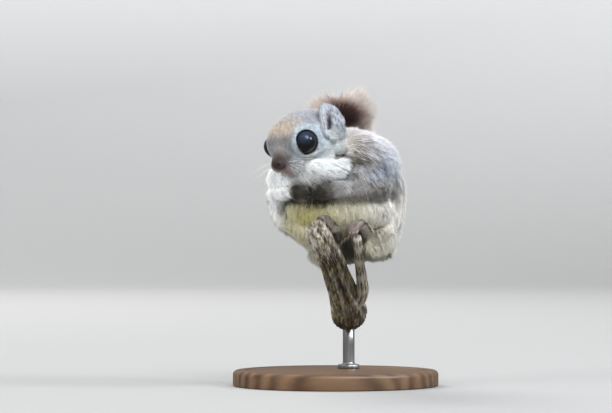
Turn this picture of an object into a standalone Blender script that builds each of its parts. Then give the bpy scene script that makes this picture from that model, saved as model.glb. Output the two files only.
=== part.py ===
"""A small flying squirrel crouched on a forked branch stub, held up by a plain display stand.

The animal faces -Y with its head turned to its right, its back is towards +Y and +Z is up. The
origin is the middle of the stand's underside. Everything is modelled in millimetres and made
metres at the end. Sizes of furred pieces are taken over the coat.
"""
import math
import random

import bmesh
import bpy
import numpy as np
from mathutils import Matrix, Vector

METRES = 0.001
GAP = 0.3  # clearance that neighbouring solids keep
SEED = 7

# Stand
BASE_RADIUS = 52.0
BASE_HEIGHT = 8.0
BASE_ROUNDING = 1.5
ROD_RADIUS = 3.0
ROD_FOOT = (6.8, 15.0)

# Head: where its middle is, how it is turned, and its forms along forward, left and up
HEAD_MIDDLE = (-17.9, -27.0, 122.5)
HEAD_YAW, HEAD_PITCH, HEAD_ROLL = 38.0, 19.0, 6.0
EYE_RADIUS = 6.2
EYE_PLACE = (7.3, 9.1, 1.7)  # forward, left, up
EYE_AIM = (0.52, 0.84, 0.14)
ORBIT = (0.8, 6.8, 2.0)  # the furred rim round the eye: how far ahead of its middle, ring radius, thickness
LID = (2.75, 5.45, 0.85)
EAR_LENGTH = 17.0
EAR_WIDTH = 12.5
EAR_THICKNESS = 1.5
EAR_ROOT = (-8.6, 15.2, -3.0)
EAR_RISE = {1: (-0.08, -0.06, 1.0), -1: (-0.80, -0.35, 0.75)}  # the left ear stands, the right lies back
EAR_OPENS = (0.60, 0.79, 0.05)
NOSE_PLACE = (20.9, 0.0, -4.3)

# Tail, from its root to the last bone, and the brush of hair round it
TAIL_PATH = [
    (7.5, 18, 70), (8.5, 29, 69.5), (9.5, 36, 78), (9.5, 38, 94), (7.4, 36, 111), (4.8, 31, 126), (2.6, 25, 138.5)
]
TAIL_POINTS = 26
TAIL_CUT = 6  # the point on the path where the brush begins
BRUSH_HALF_WIDTH = 17.5
BRUSH_HALF_DEPTH = 6.5
CORE_SHARE = 0.45  # of the way from the bone to the locks' tips
LOCK_WIDTH = 7.6
LOCK_THICKNESS = 1.5

COLOURS = {
    "grey_brown_coat": ((0.36, 0.31, 0.26), 0.9),
    "cream_coat": ((0.72, 0.68, 0.52), 0.9),
    "buff_tail": ((0.46, 0.33, 0.24), 0.9),
    "bare_skin": ((0.50, 0.33, 0.27), 0.7),
    "dark_eye": ((0.01, 0.01, 0.012), 0.08),
    "bark": ((0.22, 0.18, 0.13), 0.85),
    "stand_wood": ((0.16, 0.10, 0.06), 0.45),
    "stand_metal": ((0.45, 0.45, 0.46), 0.35),
}


def cleared_scene():
    for obj in list(bpy.data.objects):
        bpy.data.objects.remove(obj)
    for title in ("flying_squirrel", "workshop"):
        collection = bpy.data.collections.new(title)
        bpy.context.scene.collection.children.link(collection)
    bpy.data.collections["workshop"].hide_render = True


def material(name):
    found = bpy.data.materials.get(name)
    if found is None:
        colour, roughness = COLOURS[name]
        found = bpy.data.materials.new(name)
        found.use_nodes = True
        shader = found.node_tree.nodes["Principled BSDF"]
        shader.inputs["Base Color"].default_value = (*colour, 1.0)
        shader.inputs["Roughness"].default_value = roughness
        shader.inputs["Metallic"].default_value = 1.0 if name == "stand_metal" else 0.0
    return found


def shaped(mesh, name="form"):
    """A mesh as a working object, out of the render."""
    obj = bpy.data.objects.new(name, mesh)
    bpy.data.collections["workshop"].objects.link(obj)
    obj.hide_render = True
    obj.display_type = "WIRE"
    return obj


def applied(obj):
    """The object with its modifiers worked into its mesh."""
    graph = bpy.context.evaluated_depsgraph_get()
    mesh = bpy.data.meshes.new_from_object(obj.evaluated_get(graph))
    old = obj.data
    obj.modifiers.clear()
    obj.data = mesh
    bpy.data.meshes.remove(old)
    return obj


def copied(obj):
    return shaped(obj.data.copy())


def dropped(*objects):
    for obj in objects:
        bpy.data.objects.remove(obj)


def ellipsoid(middle, half_sizes, frame=None, around=24, rings=14):
    mesh = bpy.data.meshes.new("ellipsoid")
    bm = bmesh.new()
    bmesh.ops.create_uvsphere(bm, u_segments=around, v_segments=rings, radius=1.0)
    place = Matrix.Translation(middle) @ Matrix.Diagonal((*half_sizes, 1.0))
    bm.transform((frame or Matrix()) @ place)
    bm.to_mesh(mesh)
    bm.free()
    return shaped(mesh)


def smooth_path(points, count):
    """A Catmull-Rom curve through the points, read at even steps of its parameter."""
    p = np.array(points, float)
    p = np.vstack([2 * p[0] - p[1], p, 2 * p[-1] - p[-2]])
    at = np.linspace(0, len(points) - 1, count)
    i = np.minimum(at.astype(int), len(points) - 2)
    t = (at - i)[:, None]
    a, b, c, d = p[i], p[i + 1], p[i + 2], p[i + 3]
    return 0.5 * (2 * b + (c - a) * t + (2 * a - 5 * b + 4 * c - d) * t**2 + (3 * b - a - 3 * c + d) * t**3)


def unit(v):
    return v / np.maximum(np.linalg.norm(v, axis=-1, keepdims=True), 1e-9)


def swept(path, half_across, half_through, side, sides=12):
    """A closed tube of elliptical sections along a path. side is the direction of the first half size."""
    path = np.array(path, float)
    along = unit(np.gradient(path, axis=0))
    side = np.broadcast_to(np.array(side, float), path.shape)
    across = unit(side - along * np.sum(side * along, axis=1, keepdims=True))
    through = np.cross(along, across)
    n = len(path)
    half_across = np.broadcast_to(half_across, (n,))[1:-1, None, None]
    half_through = np.broadcast_to(half_through, (n,))[1:-1, None, None]
    turn = np.linspace(0, 2 * math.pi, sides, endpoint=False)[None, :, None]
    rings = path[1:-1, None] + half_across * np.cos(turn) * across[1:-1, None]
    rings = rings + half_through * np.sin(turn) * through[1:-1, None]
    points = np.vstack([path[:1], rings.reshape(-1, 3), path[-1:]])
    last = len(points) - 1
    faces = []
    for j in range(sides):
        k = (j + 1) % sides
        faces.append((0, 1 + k, 1 + j))
        for i in range(n - 3):
            a, b = 1 + i * sides, 1 + (i + 1) * sides
            faces.append((a + j, a + k, b + k, b + j))
        faces.append((last, last - sides + j, last - sides + k))
    mesh = bpy.data.meshes.new("swept")
    mesh.from_pydata(points.tolist(), [], faces)
    obj = shaped(mesh)
    turned_out(obj)
    return obj


def turned_out(obj):
    bm = bmesh.new()
    bm.from_mesh(obj.data)
    bmesh.ops.recalc_face_normals(bm, faces=bm.faces)
    bm.to_mesh(obj.data)
    bm.free()


def limb(points, radii, count=12, sides=12, flat=1.0, side=(1, 0, 0), ends=(0.0, 0.62, 0.9)):
    """A tapered limb. flat is its depth as a share of its width, ends are the radii of its round ends."""
    path = smooth_path(points, count)
    at = np.linspace(0, len(radii) - 1, count)
    radius = np.interp(at, range(len(radii)), radii)
    ends = np.array(ends)
    start, stop = unit(path[0] - path[1]), unit(path[-1] - path[-2])
    head = [path[0] + start * radius[0] * math.sqrt(1 - e * e) for e in ends]
    tail = [path[-1] + stop * radius[-1] * math.sqrt(1 - e * e) for e in ends[::-1]]
    path = np.vstack([head, path, tail])
    radius = np.concatenate([radius[0] * ends, radius, radius[-1] * ends[::-1]])
    return swept(path, radius, radius * flat, side, sides)


def joined(objects):
    """Several meshes as one, still overlapping."""
    bm = bmesh.new()
    for obj in objects:
        bm.from_mesh(obj.data)
    mesh = bpy.data.meshes.new("joined")
    bm.to_mesh(mesh)
    bm.free()
    dropped(*objects)
    return shaped(mesh)


def fused(objects, grain, smoothing, triangles):
    """One soft closed form over overlapping ones: remeshed, smoothed, and thinned to that many triangles."""
    whole = joined(objects)
    remesh = whole.modifiers.new("remesh", "REMESH")
    remesh.mode = "VOXEL"
    remesh.voxel_size = grain
    smooth = whole.modifiers.new("smooth", "SMOOTH")
    smooth.iterations = smoothing
    smooth.factor = 0.5
    applied(whole)
    only_largest(whole)
    return thinned(whole, triangles)


def thinned(obj, triangles):
    split = obj.modifiers.new("split", "TRIANGULATE")
    split.min_vertices = 4
    applied(obj)
    thin = obj.modifiers.new("thin", "DECIMATE")
    thin.ratio = min(1.0, triangles / len(obj.data.polygons))
    return applied(obj)


def swollen(obj, amount=GAP):
    """A copy whose surface stands out by that much."""
    grown = copied(obj)
    bm = bmesh.new()
    bm.from_mesh(grown.data)
    bm.normal_update()
    places = [v.co + v.normal * amount * min(v.calc_shell_factor(), 1.6) for v in bm.verts]
    for v, place in zip(bm.verts, places):
        v.co = place
    bm.to_mesh(grown.data)
    bm.free()
    return grown


def boolean(obj, other, operation, solver="MANIFOLD"):
    cut = obj.modifiers.new("cut", "BOOLEAN")
    cut.operation = operation
    cut.object = other
    cut.solver = solver
    return applied(obj)


def united(objects, solver="MANIFOLD"):
    """One closed body from overlapping closed ones."""
    first, rest = objects[0], objects[1:]
    group = bpy.data.collections.new("pieces")
    for obj in rest:
        group.objects.link(obj)
    union = first.modifiers.new("union", "BOOLEAN")
    union.operation = "UNION"
    union.operand_type = "COLLECTION"
    union.collection = group
    union.solver = solver
    applied(first)
    dropped(*rest)
    bpy.data.collections.remove(group)
    return first


def near(obj, other, margin=1.0):
    """True if the boxes round two objects overlap."""
    low, high = ([op(c) for c in zip(*(v.co for v in obj.data.vertices))] for op in (min, max))
    other_low, other_high = ([op(c) for c in zip(*(v.co for v in other.data.vertices))] for op in (min, max))
    return all(a - margin < d and c - margin < b for a, b, c, d in zip(low, high, other_low, other_high))


def giving_way(forms):
    """Cuts each form back, by the gap, from all those named before it, and keeps its largest piece."""
    cutters, solids = {}, {}
    for name, form in forms.items():
        solid = copied(form)
        for cutter in cutters.values():
            if near(solid, cutter):
                boolean(solid, cutter, "DIFFERENCE")
        solids[name] = only_largest(solid)
        cutters[name] = swollen(form)
    dropped(*forms.values(), *cutters.values())
    return solids


def only_largest(obj):
    """Keeps the closed surface of largest volume."""
    bm = bmesh.new()
    bm.from_mesh(obj.data)
    unseen, islands = set(bm.verts), []
    while unseen:
        edge = [unseen.pop()]
        island = set(edge)
        while edge:
            for link in edge.pop().link_edges:
                for v in link.verts:
                    if v in unseen:
                        unseen.remove(v)
                        island.add(v)
                        edge.append(v)
        islands.append(island)

    def volume(island):
        faces = {f for v in island for f in v.link_faces}
        total = 0.0
        for f in faces:
            a = f.verts[0].co
            for b, c in zip(f.verts[1:-1], f.verts[2:]):
                total += a.dot(b.co.cross(c.co))
        return abs(total)

    largest = max(islands, key=volume)
    bmesh.ops.delete(bm, geom=[v for v in bm.verts if v not in largest], context="VERTS")
    bm.to_mesh(obj.data)
    bm.free()
    return obj


def as_node(obj, name, finish):
    """Names a finished solid, gives it its material and puts it in the model, in metres."""
    obj.name = name
    obj.data.name = name
    obj.hide_render = False
    obj.display_type = "TEXTURED"
    bpy.data.collections["workshop"].objects.unlink(obj)
    bpy.data.collections["flying_squirrel"].objects.link(obj)
    obj.data.transform(Matrix.Scale(METRES, 4))
    obj.data.materials.clear()
    obj.data.materials.append(material(finish))
    obj.data.shade_smooth()
    return obj


def head_frame():
    """The head's forward, left and up directions as a matrix placed at its middle."""
    yaw, pitch, roll = (math.radians(a) for a in (HEAD_YAW, HEAD_PITCH, HEAD_ROLL))
    forward = Vector((-math.sin(yaw) * math.cos(pitch), -math.cos(yaw) * math.cos(pitch), -math.sin(pitch)))
    level = Vector((math.cos(yaw), -math.sin(yaw), 0))
    crown = forward.cross(level)
    left = level * math.cos(roll) + crown * math.sin(roll)
    up = forward.cross(left)
    turn = Matrix((forward, left, up)).transposed().to_4x4()
    return Matrix.Translation(HEAD_MIDDLE) @ turn


def skull_form(frame):
    """Cranium, cheeks, face and muzzle as one soft form."""
    forms = [
        ellipsoid((-4.5, 0, 1.0), (18.5, 16.0, 14.5), frame),
        ellipsoid((3.0, 0, 3.5), (15.3, 13.0, 12.4), frame),
        ellipsoid((13.0, 0, -4.0), (9.0, 7.4, 6.8), frame),
        ellipsoid((9.5, 0, -9.4), (8.5, 5.8, 4.0), frame),
    ]
    for side in (1, -1):
        forms.append(ellipsoid((-5.0, side * 6.8, -4.2), (14.0, 11.0, 9.8), frame))
        forms.append(ellipsoid((-11.5, side * 8.0, -4.6), (11.0, 9.6, 9.0), frame))
        forms.append(ellipsoid((10.0, side * 6.3, 3.0), (5.6, 4.8, 5.2), frame))
        forms.append(ellipsoid((14.0, side * 4.1, -6.2), (6.4, 4.6, 4.4), frame))
        forms.append(ring(frame, side, *ORBIT))
    return fused(forms, grain=0.8, smoothing=5, triangles=740)


def eye_axis(side):
    return Vector((EYE_AIM[0], side * EYE_AIM[1], EYE_AIM[2])).normalized()


def on_eye_axis(frame, side, ahead):
    """Where a form that is turned about the eye's axis goes, that far ahead of the eye's middle."""
    aim = eye_axis(side)
    middle = Vector((EYE_PLACE[0], side * EYE_PLACE[1], EYE_PLACE[2])) + aim * ahead
    return frame @ Matrix.Translation(middle) @ aim.to_track_quat("Z", "Y").to_matrix().to_4x4()


def ring(frame, side, ahead, radius, thickness):
    """A ring round the eye: the furred rim of its orbit, or the lids."""
    bpy.ops.mesh.primitive_torus_add(
        major_radius=radius, minor_radius=thickness, major_segments=16, minor_segments=5
    )
    torus = bpy.context.active_object
    mesh = torus.data.copy()
    mesh.transform(on_eye_axis(frame, side, ahead))
    bpy.data.objects.remove(torus)
    return shaped(mesh)


def eye_opening(frame, side):
    """The opening of the lids: a cone that widens outwards from inside the eye."""
    mesh = bpy.data.meshes.new("opening")
    bm = bmesh.new()
    bmesh.ops.create_cone(bm, cap_ends=True, segments=16, radius1=3.9, radius2=9.6, depth=7.6)
    bm.transform(on_eye_axis(frame, side, 4.6))
    bm.to_mesh(mesh)
    bm.free()
    return shaped(mesh)


def eyeball(frame, side):
    place = (EYE_PLACE[0], side * EYE_PLACE[1], EYE_PLACE[2])
    return ellipsoid(place, (EYE_RADIUS,) * 3, frame, around=14, rings=8)


def mouth_groove(frame):
    """The line of the mouth, from under the nose back along each lip."""
    half = [(20.6, 0.0, -7.2), (18.6, 2.2, -8.9), (15.2, 4.8, -9.7), (11.0, 6.8, -8.9)]
    points = [(x, -y, z) for x, y, z in half[:0:-1]] + half
    placed = [tuple(frame @ Vector(p)) for p in points]
    return limb(placed, [0.5] * len(placed), count=13, sides=5, ends=(0.0, 0.8))


def nostril(frame, side):
    inner = frame @ Vector((NOSE_PLACE[0] - 0.2, side * 1.0, NOSE_PLACE[2] + 0.3))
    outer = frame @ Vector((NOSE_PLACE[0] + 2.4, side * 2.3, NOSE_PLACE[2] - 0.5))
    return limb([tuple(inner), tuple(outer)], [0.45, 0.6], count=4, sides=6)


def head_form(frame):
    skull = skull_form(frame)
    for side in (1, -1):
        opening = eye_opening(frame, side)
        boolean(skull, opening, "DIFFERENCE")
        dropped(opening)
    nose = ellipsoid(NOSE_PLACE, (2.6, 3.5, 3.1), frame, around=14, rings=8)
    return united([skull, nose, ring(frame, 1, *LID), ring(frame, -1, *LID)])


def face_cut_in(head, frame):
    """The nostrils and the line of the mouth."""
    for cutter in (nostril(frame, 1), nostril(frame, -1), mouth_groove(frame)):
        boolean(head, cutter, "DIFFERENCE")
        dropped(cutter)
    return only_largest(head)


def ear(frame, side):
    """A cupped leaf: a grid curled about its long axis, thickened, with its root inside the head."""
    rows, columns = 7, 7
    v, u = np.meshgrid(np.linspace(0, 1, rows), np.linspace(-1, 1, columns), indexing="ij")
    width = EAR_WIDTH / 2 * np.sqrt(np.clip(1 - np.abs((v - 0.22) / 0.79) ** 1.6, 0.02, 1))
    curl = 1.75 * (1 - 0.45 * v)
    height = EAR_LENGTH * v
    local_side = width * np.sin(u * curl) / curl * 1.25
    local_cup = width * (1 - np.cos(u * curl)) * 0.9 - 1.5 * v**2
    base = Vector((EAR_ROOT[0], side * EAR_ROOT[1], EAR_ROOT[2]))
    up = Vector(EAR_RISE[side]).normalized()
    out = Vector((EAR_OPENS[0], side * EAR_OPENS[1], EAR_OPENS[2]))
    out = (out - up * out.dot(up)).normalized()
    along = up.cross(out)
    points = [
        frame @ (base + up * float(h) + along * float(s) + out * float(c))
        for h, s, c in zip(height.ravel(), local_side.ravel(), local_cup.ravel())
    ]
    faces = [
        (i * columns + j, i * columns + j + 1, (i + 1) * columns + j + 1, (i + 1) * columns + j)
        for i in range(rows - 1)
        for j in range(columns - 1)
    ]
    mesh = bpy.data.meshes.new("ear")
    mesh.from_pydata([tuple(p) for p in points], [], faces)
    leaf = shaped(mesh)
    wall = leaf.modifiers.new("wall", "SOLIDIFY")
    wall.thickness = EAR_THICKNESS
    wall.offset = 0.0
    applied(leaf)
    turned_out(leaf)
    return leaf


def torso_form():
    """Barrel, back, rump, chest and shoulders."""
    forms = [
        ellipsoid((1.5, -6, 93), (33.5, 29.5, 26.5)),
        ellipsoid((5.5, 1.5, 107), (28.0, 26.5, 26.0)),
        ellipsoid((6.0, 2, 92), (29.0, 29.5, 27)),
        ellipsoid((6.0, 1, 79.5), (25.0, 27.5, 18.5)),
        ellipsoid((-7.5, -16, 102), (25, 21, 18.5)),
        ellipsoid((18.0, -6, 109.5), (16.0, 18, 18)),
        ellipsoid((-17.5, -8, 105), (16, 17, 17)),
    ]
    return fused(forms, grain=2.6, smoothing=14, triangles=360)


def belly_form():
    """The cream fur apron over the belly, between the forearms and the feet."""
    forms = [
        ellipsoid((0.5, -20, 88.5), (30, 17.5, 15)),
        ellipsoid((-0.8, -12, 80.2), (23, 18, 12.8)),
    ]
    return fused(forms, grain=2.2, smoothing=8, triangles=230)


def neck_form():
    """Neck and the white throat ruff, which swells out behind the near cheek."""
    forms = [
        ellipsoid((-7.0, -14, 118), (16, 15, 14)),
        ellipsoid((-16.0, -23.5, 105.0), (18.5, 13.5, 11)),
        ellipsoid((-11.0, -33.0, 110.0), (9.5, 8.0, 5.6)),
        limb([(-20, -27, 104.5), (-10, -31.5, 106.3), (-3.0, -31.5, 108.4), (0.6, -30.5, 109.6)], [7.0, 7.2, 6.9, 6.1]),
    ]
    return fused(forms, grain=1.2, smoothing=5, triangles=260)


def arm_forms(side):
    """Upper arm and forearm over the coat. The near one is the animal's left."""
    if side > 0:
        upper = [ellipsoid((13.5, -9, 113), (13.5, 14, 13.5)), ellipsoid((12.5, -19, 106.5), (13.5, 15.5, 10.0))]
        upper.append(limb([(15, -11, 113), (20.5, -18, 107.5), (21.5, -24, 102.5)], [12.5, 11.0, 8.2]))
        fore, sizes = [(21, -26, 101), (9, -34, 99.5), (-5, -38.5, 98.6)], [7.2, 5.8, 4.2]
    else:
        upper = [ellipsoid((-20, -9, 109), (11.5, 13, 12))]
        upper.append(limb([(-21, -11, 109), (-25.5, -17, 104), (-27.5, -23, 99.5)], [10.5, 9.0, 7.0]))
        fore, sizes = [(-27.0, -25, 98.5), (-25, -32, 97.7), (-20, -36.5, 97.6)], [6.0, 4.8, 3.6]
    upper = fused(upper, grain=1.6, smoothing=6, triangles=220)
    return upper, limb(fore, sizes, count=9, sides=10, flat=0.95)


def patagium_form(side):
    """The folded gliding membrane: a flat furred roll from the elbow down the flank to the ankle."""
    if side > 0:
        path = [(27, -20, 110), (29.8, -15, 101), (29.8, -13, 90), (27.5, -17, 80), (24, -24, 73.5), (18, -30, 71.5)]
        thickness = [2.8, 3.6, 3.8, 3.8, 3.4, 2.4]
    else:
        path = [(-30.0, -21, 95), (-27.0, -19, 87), (-20.5, -20, 81), (-14.0, -25, 77), (-9.0, -29, 75)]
        thickness = [2.8, 3.4, 3.6, 3.4, 2.4]
    return limb(path, thickness, count=12, sides=8, flat=2.3, side=(1, 0, 0.4))


def thigh_form(side):
    if side > 0:
        return ellipsoid((18.2, -12.5, 73.4), (11.7, 17.5, 11.5), around=14, rings=8)
    return ellipsoid((-5.4, -12.5, 70.8), (11.4, 16.5, 11.6), around=14, rings=8)


def digit(points, radius, claw):
    """A toe or finger and its claw, which continues and hooks down past the tip."""
    toe = limb(points, [radius * 1.1, radius, radius * 0.9], count=4, sides=5, ends=(0.0, 0.8))
    tip, before = Vector(points[-1]), Vector(points[-2])
    ahead = (tip - before).normalized()
    hook = [
        tip - ahead * 0.4,
        tip + ahead * (claw * 0.45 + radius * 0.5),
        tip + ahead * (claw * 0.8 + radius * 0.5) + Vector((0, 0, -0.35 * claw)),
    ]
    path = smooth_path([tuple(p) for p in hook], 5)
    thick = np.array([0, 0.62, 0.55, 0.4, 0]) * radius
    nail = swept(path, thick, thick, (1, 0.2, 0), sides=5)
    return [toe, nail]


def foot_form(side):
    """A hind foot: heel and instep in short fur, and five toes that hook over the end of a prong."""
    if side > 0:
        instep = [(16.5, -23, 75.0), (14.0, -31, 79.0), (11.6, -35.8, 81.3)]
        knuckles, tips = (10.8, -37.0, 81.6), (6.4, -41.0, 76.2)
        spread = Vector((2.8, -2.8, 1.6))
    else:
        instep = [(1.0, -23, 73.5), (2.0, -29.5, 77.0), (0.3, -33.5, 79.2)]
        knuckles, tips = (-0.9, -34.8, 79.4), (-5.2, -39.8, 82.2)
        spread = Vector((2.4, 2.2, -3.0))
    pieces = [limb(instep, [4.2, 3.4, 2.6], count=5, sides=9, flat=0.8)]
    for i in range(5):
        share = (i - 2) / 2
        start = Vector(knuckles) + spread * share * 0.75
        end = Vector(tips) + spread * share * 1.25 + Vector((0, 0, -0.8 * share * share))
        middle = (start + end) / 2 + Vector((0, 0, 1.4))
        pieces += digit([tuple(start), tuple(middle), tuple(end)], 1.2, 2.0)
    return united(pieces)


def hand_form(side):
    """A fore paw, its four fingers curled under the chin."""
    wrist = Vector((-4.6, -38.9, 98.8)) if side > 0 else Vector((-20.0, -36.6, 97.5))
    reach = Vector((-5.4, 0.1, -0.9)) if side > 0 else Vector((3.6, -2.2, -1.0))
    spread = Vector((0.4, -0.9, 1.5)) if side > 0 else Vector((1.2, 0.4, 1.6))
    palm_end = wrist + reach * 0.55
    pieces = [limb([tuple(wrist), tuple(palm_end)], [3.4, 3.0], count=4, sides=10, flat=0.85)]
    for i in range(4):
        share = (i - 1.5) / 1.5
        start = palm_end + spread * share * 1.1
        end = start + reach.normalized() * 3.4 + Vector((0, -0.4, -1.7)) + spread * share * 0.2
        middle = (start + end) / 2 + Vector((0, -0.8, 0.5))
        pieces += digit([tuple(start), tuple(middle), tuple(end)], 0.95, 1.8)
    return united(pieces)


def perch_form():
    """The forked stub: a thick broken prong and a thin one that leaves it near its sawn root."""
    thick = [
        (7, 20, 35.5), (6.5, 9, 39.5), (4.5, -4, 46), (1, -18, 55), (-3, -31, 65.5), (-7.5, -40, 74), (-10.5, -44.5, 79.5)
    ]
    widths = [9.0, 8.8, 7.8, 6.8, 6.1, 5.6, 5.0]
    thin = [(8, 3, 42.5), (13.0, -6, 47), (13.0, -14, 54), (11.8, -23, 62), (11.0, -31, 69.5), (10.3, -37, 75.8)]
    slim = [6.0, 3.4, 2.7, 2.4, 2.2, 2.0]
    pieces = []
    for points, radii, sides, count in ((thick, widths, 12, 15), (thin, slim, 7, 12)):
        path = smooth_path(points, count)
        radius = np.interp(np.linspace(0, len(radii) - 1, count), range(len(radii)), radii)
        radius = radius * (1 + 0.06 * np.sin(np.arange(count) * 2.3))
        path = np.vstack([path[:1], path, path[-1:]])
        radius = np.concatenate([[0], radius, [0]])
        pieces.append(swept(path, radius, radius, (1, 0, 0), sides))
    return united(pieces)


def tail_frame():
    """Points along the tail, its direction, the one across its flat brush, and the one out from the back."""
    path = smooth_path(TAIL_PATH, TAIL_POINTS)
    along = unit(np.gradient(path, axis=0))
    across = unit(np.array([1.0, 0.12, 0.05]) - along * (along @ np.array([1.0, 0.12, 0.05]))[:, None])
    return path, along, across, np.cross(along, across)


def brush_sizes(share):
    """Half width and half depth of the tail over its hair, at a share of its length."""
    width = BRUSH_HALF_WIDTH * np.interp(share, [0, 0.12, 0.24, 0.5, 1], [0.26, 0.32, 0.62, 1, 1])
    depth = BRUSH_HALF_DEPTH * np.interp(share, [0, 0.12, 0.24, 0.7, 1], [0.72, 0.75, 0.9, 1, 0.9])
    return width, depth


def tail_core():
    """The tail without its long hair: full size at the furred root, then a thin flat core to the last bone."""
    path, along, _, _ = tail_frame()
    share = np.linspace(0, 1, TAIL_POINTS)
    width, depth = brush_sizes(share)
    fall = np.interp(share, [0, 0.16, 0.26, 1], [1, 1, CORE_SHARE, CORE_SHARE])
    tip = [path[-1] + along[-1] * d for d in (1.5, 3.0)]
    path = np.vstack([path, tip])
    width = np.concatenate([width * fall, width[-1] * CORE_SHARE * np.array([0.7, 0])])
    depth = np.concatenate([depth * np.sqrt(fall), depth[-1] * CORE_SHARE * np.array([0.7, 0])])
    return swept(path, width, depth, (1.0, 0.12, 0.05), sides=10)


def lock(root, way, bend, flat, length, width):
    """A tuft of hair: a flat tapered blade from root along way, curving towards bend, its flat across flat."""
    t = np.array([0.0, 0.12, 0.42, 0.75, 1.0])[:, None]
    path = root + length * (way * t + bend * 0.28 * t**2)
    fullness = np.array([0.0, 0.9, 1.0, 0.74, 0.0])
    thickness = LOCK_THICKNESS * np.array([0.0, 1.0, 0.85, 0.5, 0.0])
    return swept(path, width / 2 * fullness, thickness / 2, flat, sides=4)


def brush_locks(dice):
    """Locks down both sides of the brush, along its back and inner face, and fanned round its tip."""
    path, along, across, outward = tail_frame()
    share = np.linspace(0, 1, TAIL_POINTS)
    locks = []

    def grown(at, side, face, lean, reach):
        """One lock from the core at a share of the length: side is across, face is out from the back."""
        point, forward, right, out = (np.array([np.interp(at, share, v[:, k]) for k in range(3)])
                                      for v in (path, along, across, outward))
        width, depth = brush_sizes(at)
        root = point + right * side * width * CORE_SHARE * 0.35 + out * face * depth * CORE_SHARE * 0.4
        way = unit(right * side * math.sin(lean) + forward * math.cos(lean) + out * face * 0.22)
        bend = forward * math.sin(lean) * 0.8 - right * side * 0.2 - out * face * 0.22
        flat = np.cross(way, out + right * side * 0.2)
        length = reach * dice.uniform(0.9, 1.08)
        locks.append(lock(root, way, bend, flat, length, LOCK_WIDTH * dice.uniform(0.9, 1.12)))

    for i, at in enumerate(np.linspace(0.22, 0.93, 12)):
        for side in (1, -1):
            width, _ = brush_sizes(at)
            lean = np.interp(at, [0.5, 0.93], [0.60, 0.98]) + dice.uniform(-0.06, 0.06)
            face = 0.7 if i % 2 else -0.7
            grown(at + dice.uniform(-0.01, 0.01), side, face, lean, 0.92 * width / math.sin(lean))
    for at in np.linspace(0.26, 0.82, 5):
        for face in (1.5, -1.4):
            grown(at, dice.uniform(-0.9, 0.9), face, dice.uniform(0.1, 0.3), 16.0)
    for turn in np.linspace(-1, 1, 9):
        side = 1 if turn >= 0 else -1
        grown(0.985, side, dice.choice((-0.7, 0.7)), abs(turn) * 1.1, 9.6 + 5.0 * abs(turn))
    return locks


def parted(obj, point, way):
    """Cuts a long form square across its path, leaving the gap, into the pieces before and after."""
    reach = 80.0
    square = Vector(way).normalized().to_track_quat("Z", "Y").to_matrix().to_4x4()
    halves = []
    for sign in (1, -1):
        mesh = bpy.data.meshes.new("block")
        bm = bmesh.new()
        bmesh.ops.create_cube(bm, size=2 * reach)
        shift = Matrix.Translation((0, 0, sign * (reach - GAP / 2)))
        bm.transform(Matrix.Translation(Vector(point)) @ square @ shift)
        bm.to_mesh(mesh)
        bm.free()
        block = shaped(mesh)
        halves.append(only_largest(boolean(copied(obj), block, "DIFFERENCE")))
        dropped(block)
    dropped(obj)
    return halves


def tail_forms():
    """The furred root of the tail, and its brush: a core with locks fused on."""
    path, along, _, _ = tail_frame()
    root, core = parted(tail_core(), path[TAIL_CUT], along[TAIL_CUT])
    brush = united([core] + brush_locks(random.Random(SEED)))
    return root, only_largest(brush)


def stand_forms():
    """A round wooden foot with a rounded rim, and a metal rod that meets the stub from below."""
    bpy.ops.mesh.primitive_cylinder_add(
        vertices=36, radius=BASE_RADIUS, depth=BASE_HEIGHT, location=(0, 0, BASE_HEIGHT / 2)
    )
    cylinder = bpy.context.active_object
    mesh = cylinder.data.copy()
    mesh.transform(cylinder.matrix_world)
    bpy.data.objects.remove(cylinder)
    base = shaped(mesh)
    rim = base.modifiers.new("rim", "BEVEL")
    rim.width = BASE_ROUNDING
    rim.segments = 2
    rim.limit_method = "ANGLE"
    applied(base)
    foot, top = BASE_HEIGHT + GAP, 44.0
    bpy.ops.mesh.primitive_cylinder_add(
        vertices=16, radius=ROD_RADIUS, depth=top - foot, location=(*ROD_FOOT, (top + foot) / 2)
    )
    cylinder = bpy.context.active_object
    mesh = cylinder.data.copy()
    mesh.transform(cylinder.matrix_world)
    bpy.data.objects.remove(cylinder)
    return base, shaped(mesh)


def build():
    cleared_scene()
    frame = head_frame()
    base, rod = stand_forms()
    forms, finishes = {}, {}

    def add(name, form, finish):
        forms[name], finishes[name] = form, finish

    sides = ((1, "left"), (-1, "right"))
    add("stand_base", base, "stand_wood")
    add("perch", perch_form(), "bark")
    for side, word in sides:
        add(f"eye_{word}", eyeball(frame, side), "dark_eye")
    add("head", head_form(frame), "grey_brown_coat")
    for side, word in sides:
        add(f"ear_{word}", ear(frame, side), "grey_brown_coat")
    for side, word in sides:
        add(f"hand_{word}", hand_form(side), "bare_skin")
    add("neck", neck_form(), "cream_coat")
    for side, word in sides:
        upper, fore = arm_forms(side)
        add(f"upper_arm_{word}", upper, "grey_brown_coat")
        add(f"forearm_{word}", fore, "grey_brown_coat")
        add(f"foot_{word}", foot_form(side), "bare_skin")
        add(f"thigh_{word}", thigh_form(side), "grey_brown_coat")
    add("belly", belly_form(), "cream_coat")
    add("torso", torso_form(), "grey_brown_coat")
    for side, word in sides:
        add(f"patagium_{word}", patagium_form(side), "cream_coat")
    tail_root, tail_brush = tail_forms()
    add("tail_root", tail_root, "buff_tail")
    add("tail_brush", tail_brush, "buff_tail")
    add("stand_rod", rod, "stand_metal")

    solids = giving_way(forms)
    face_cut_in(solids["head"], frame)
    for name, obj in solids.items():
        as_node(obj, name, finishes[name])


build()
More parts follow.
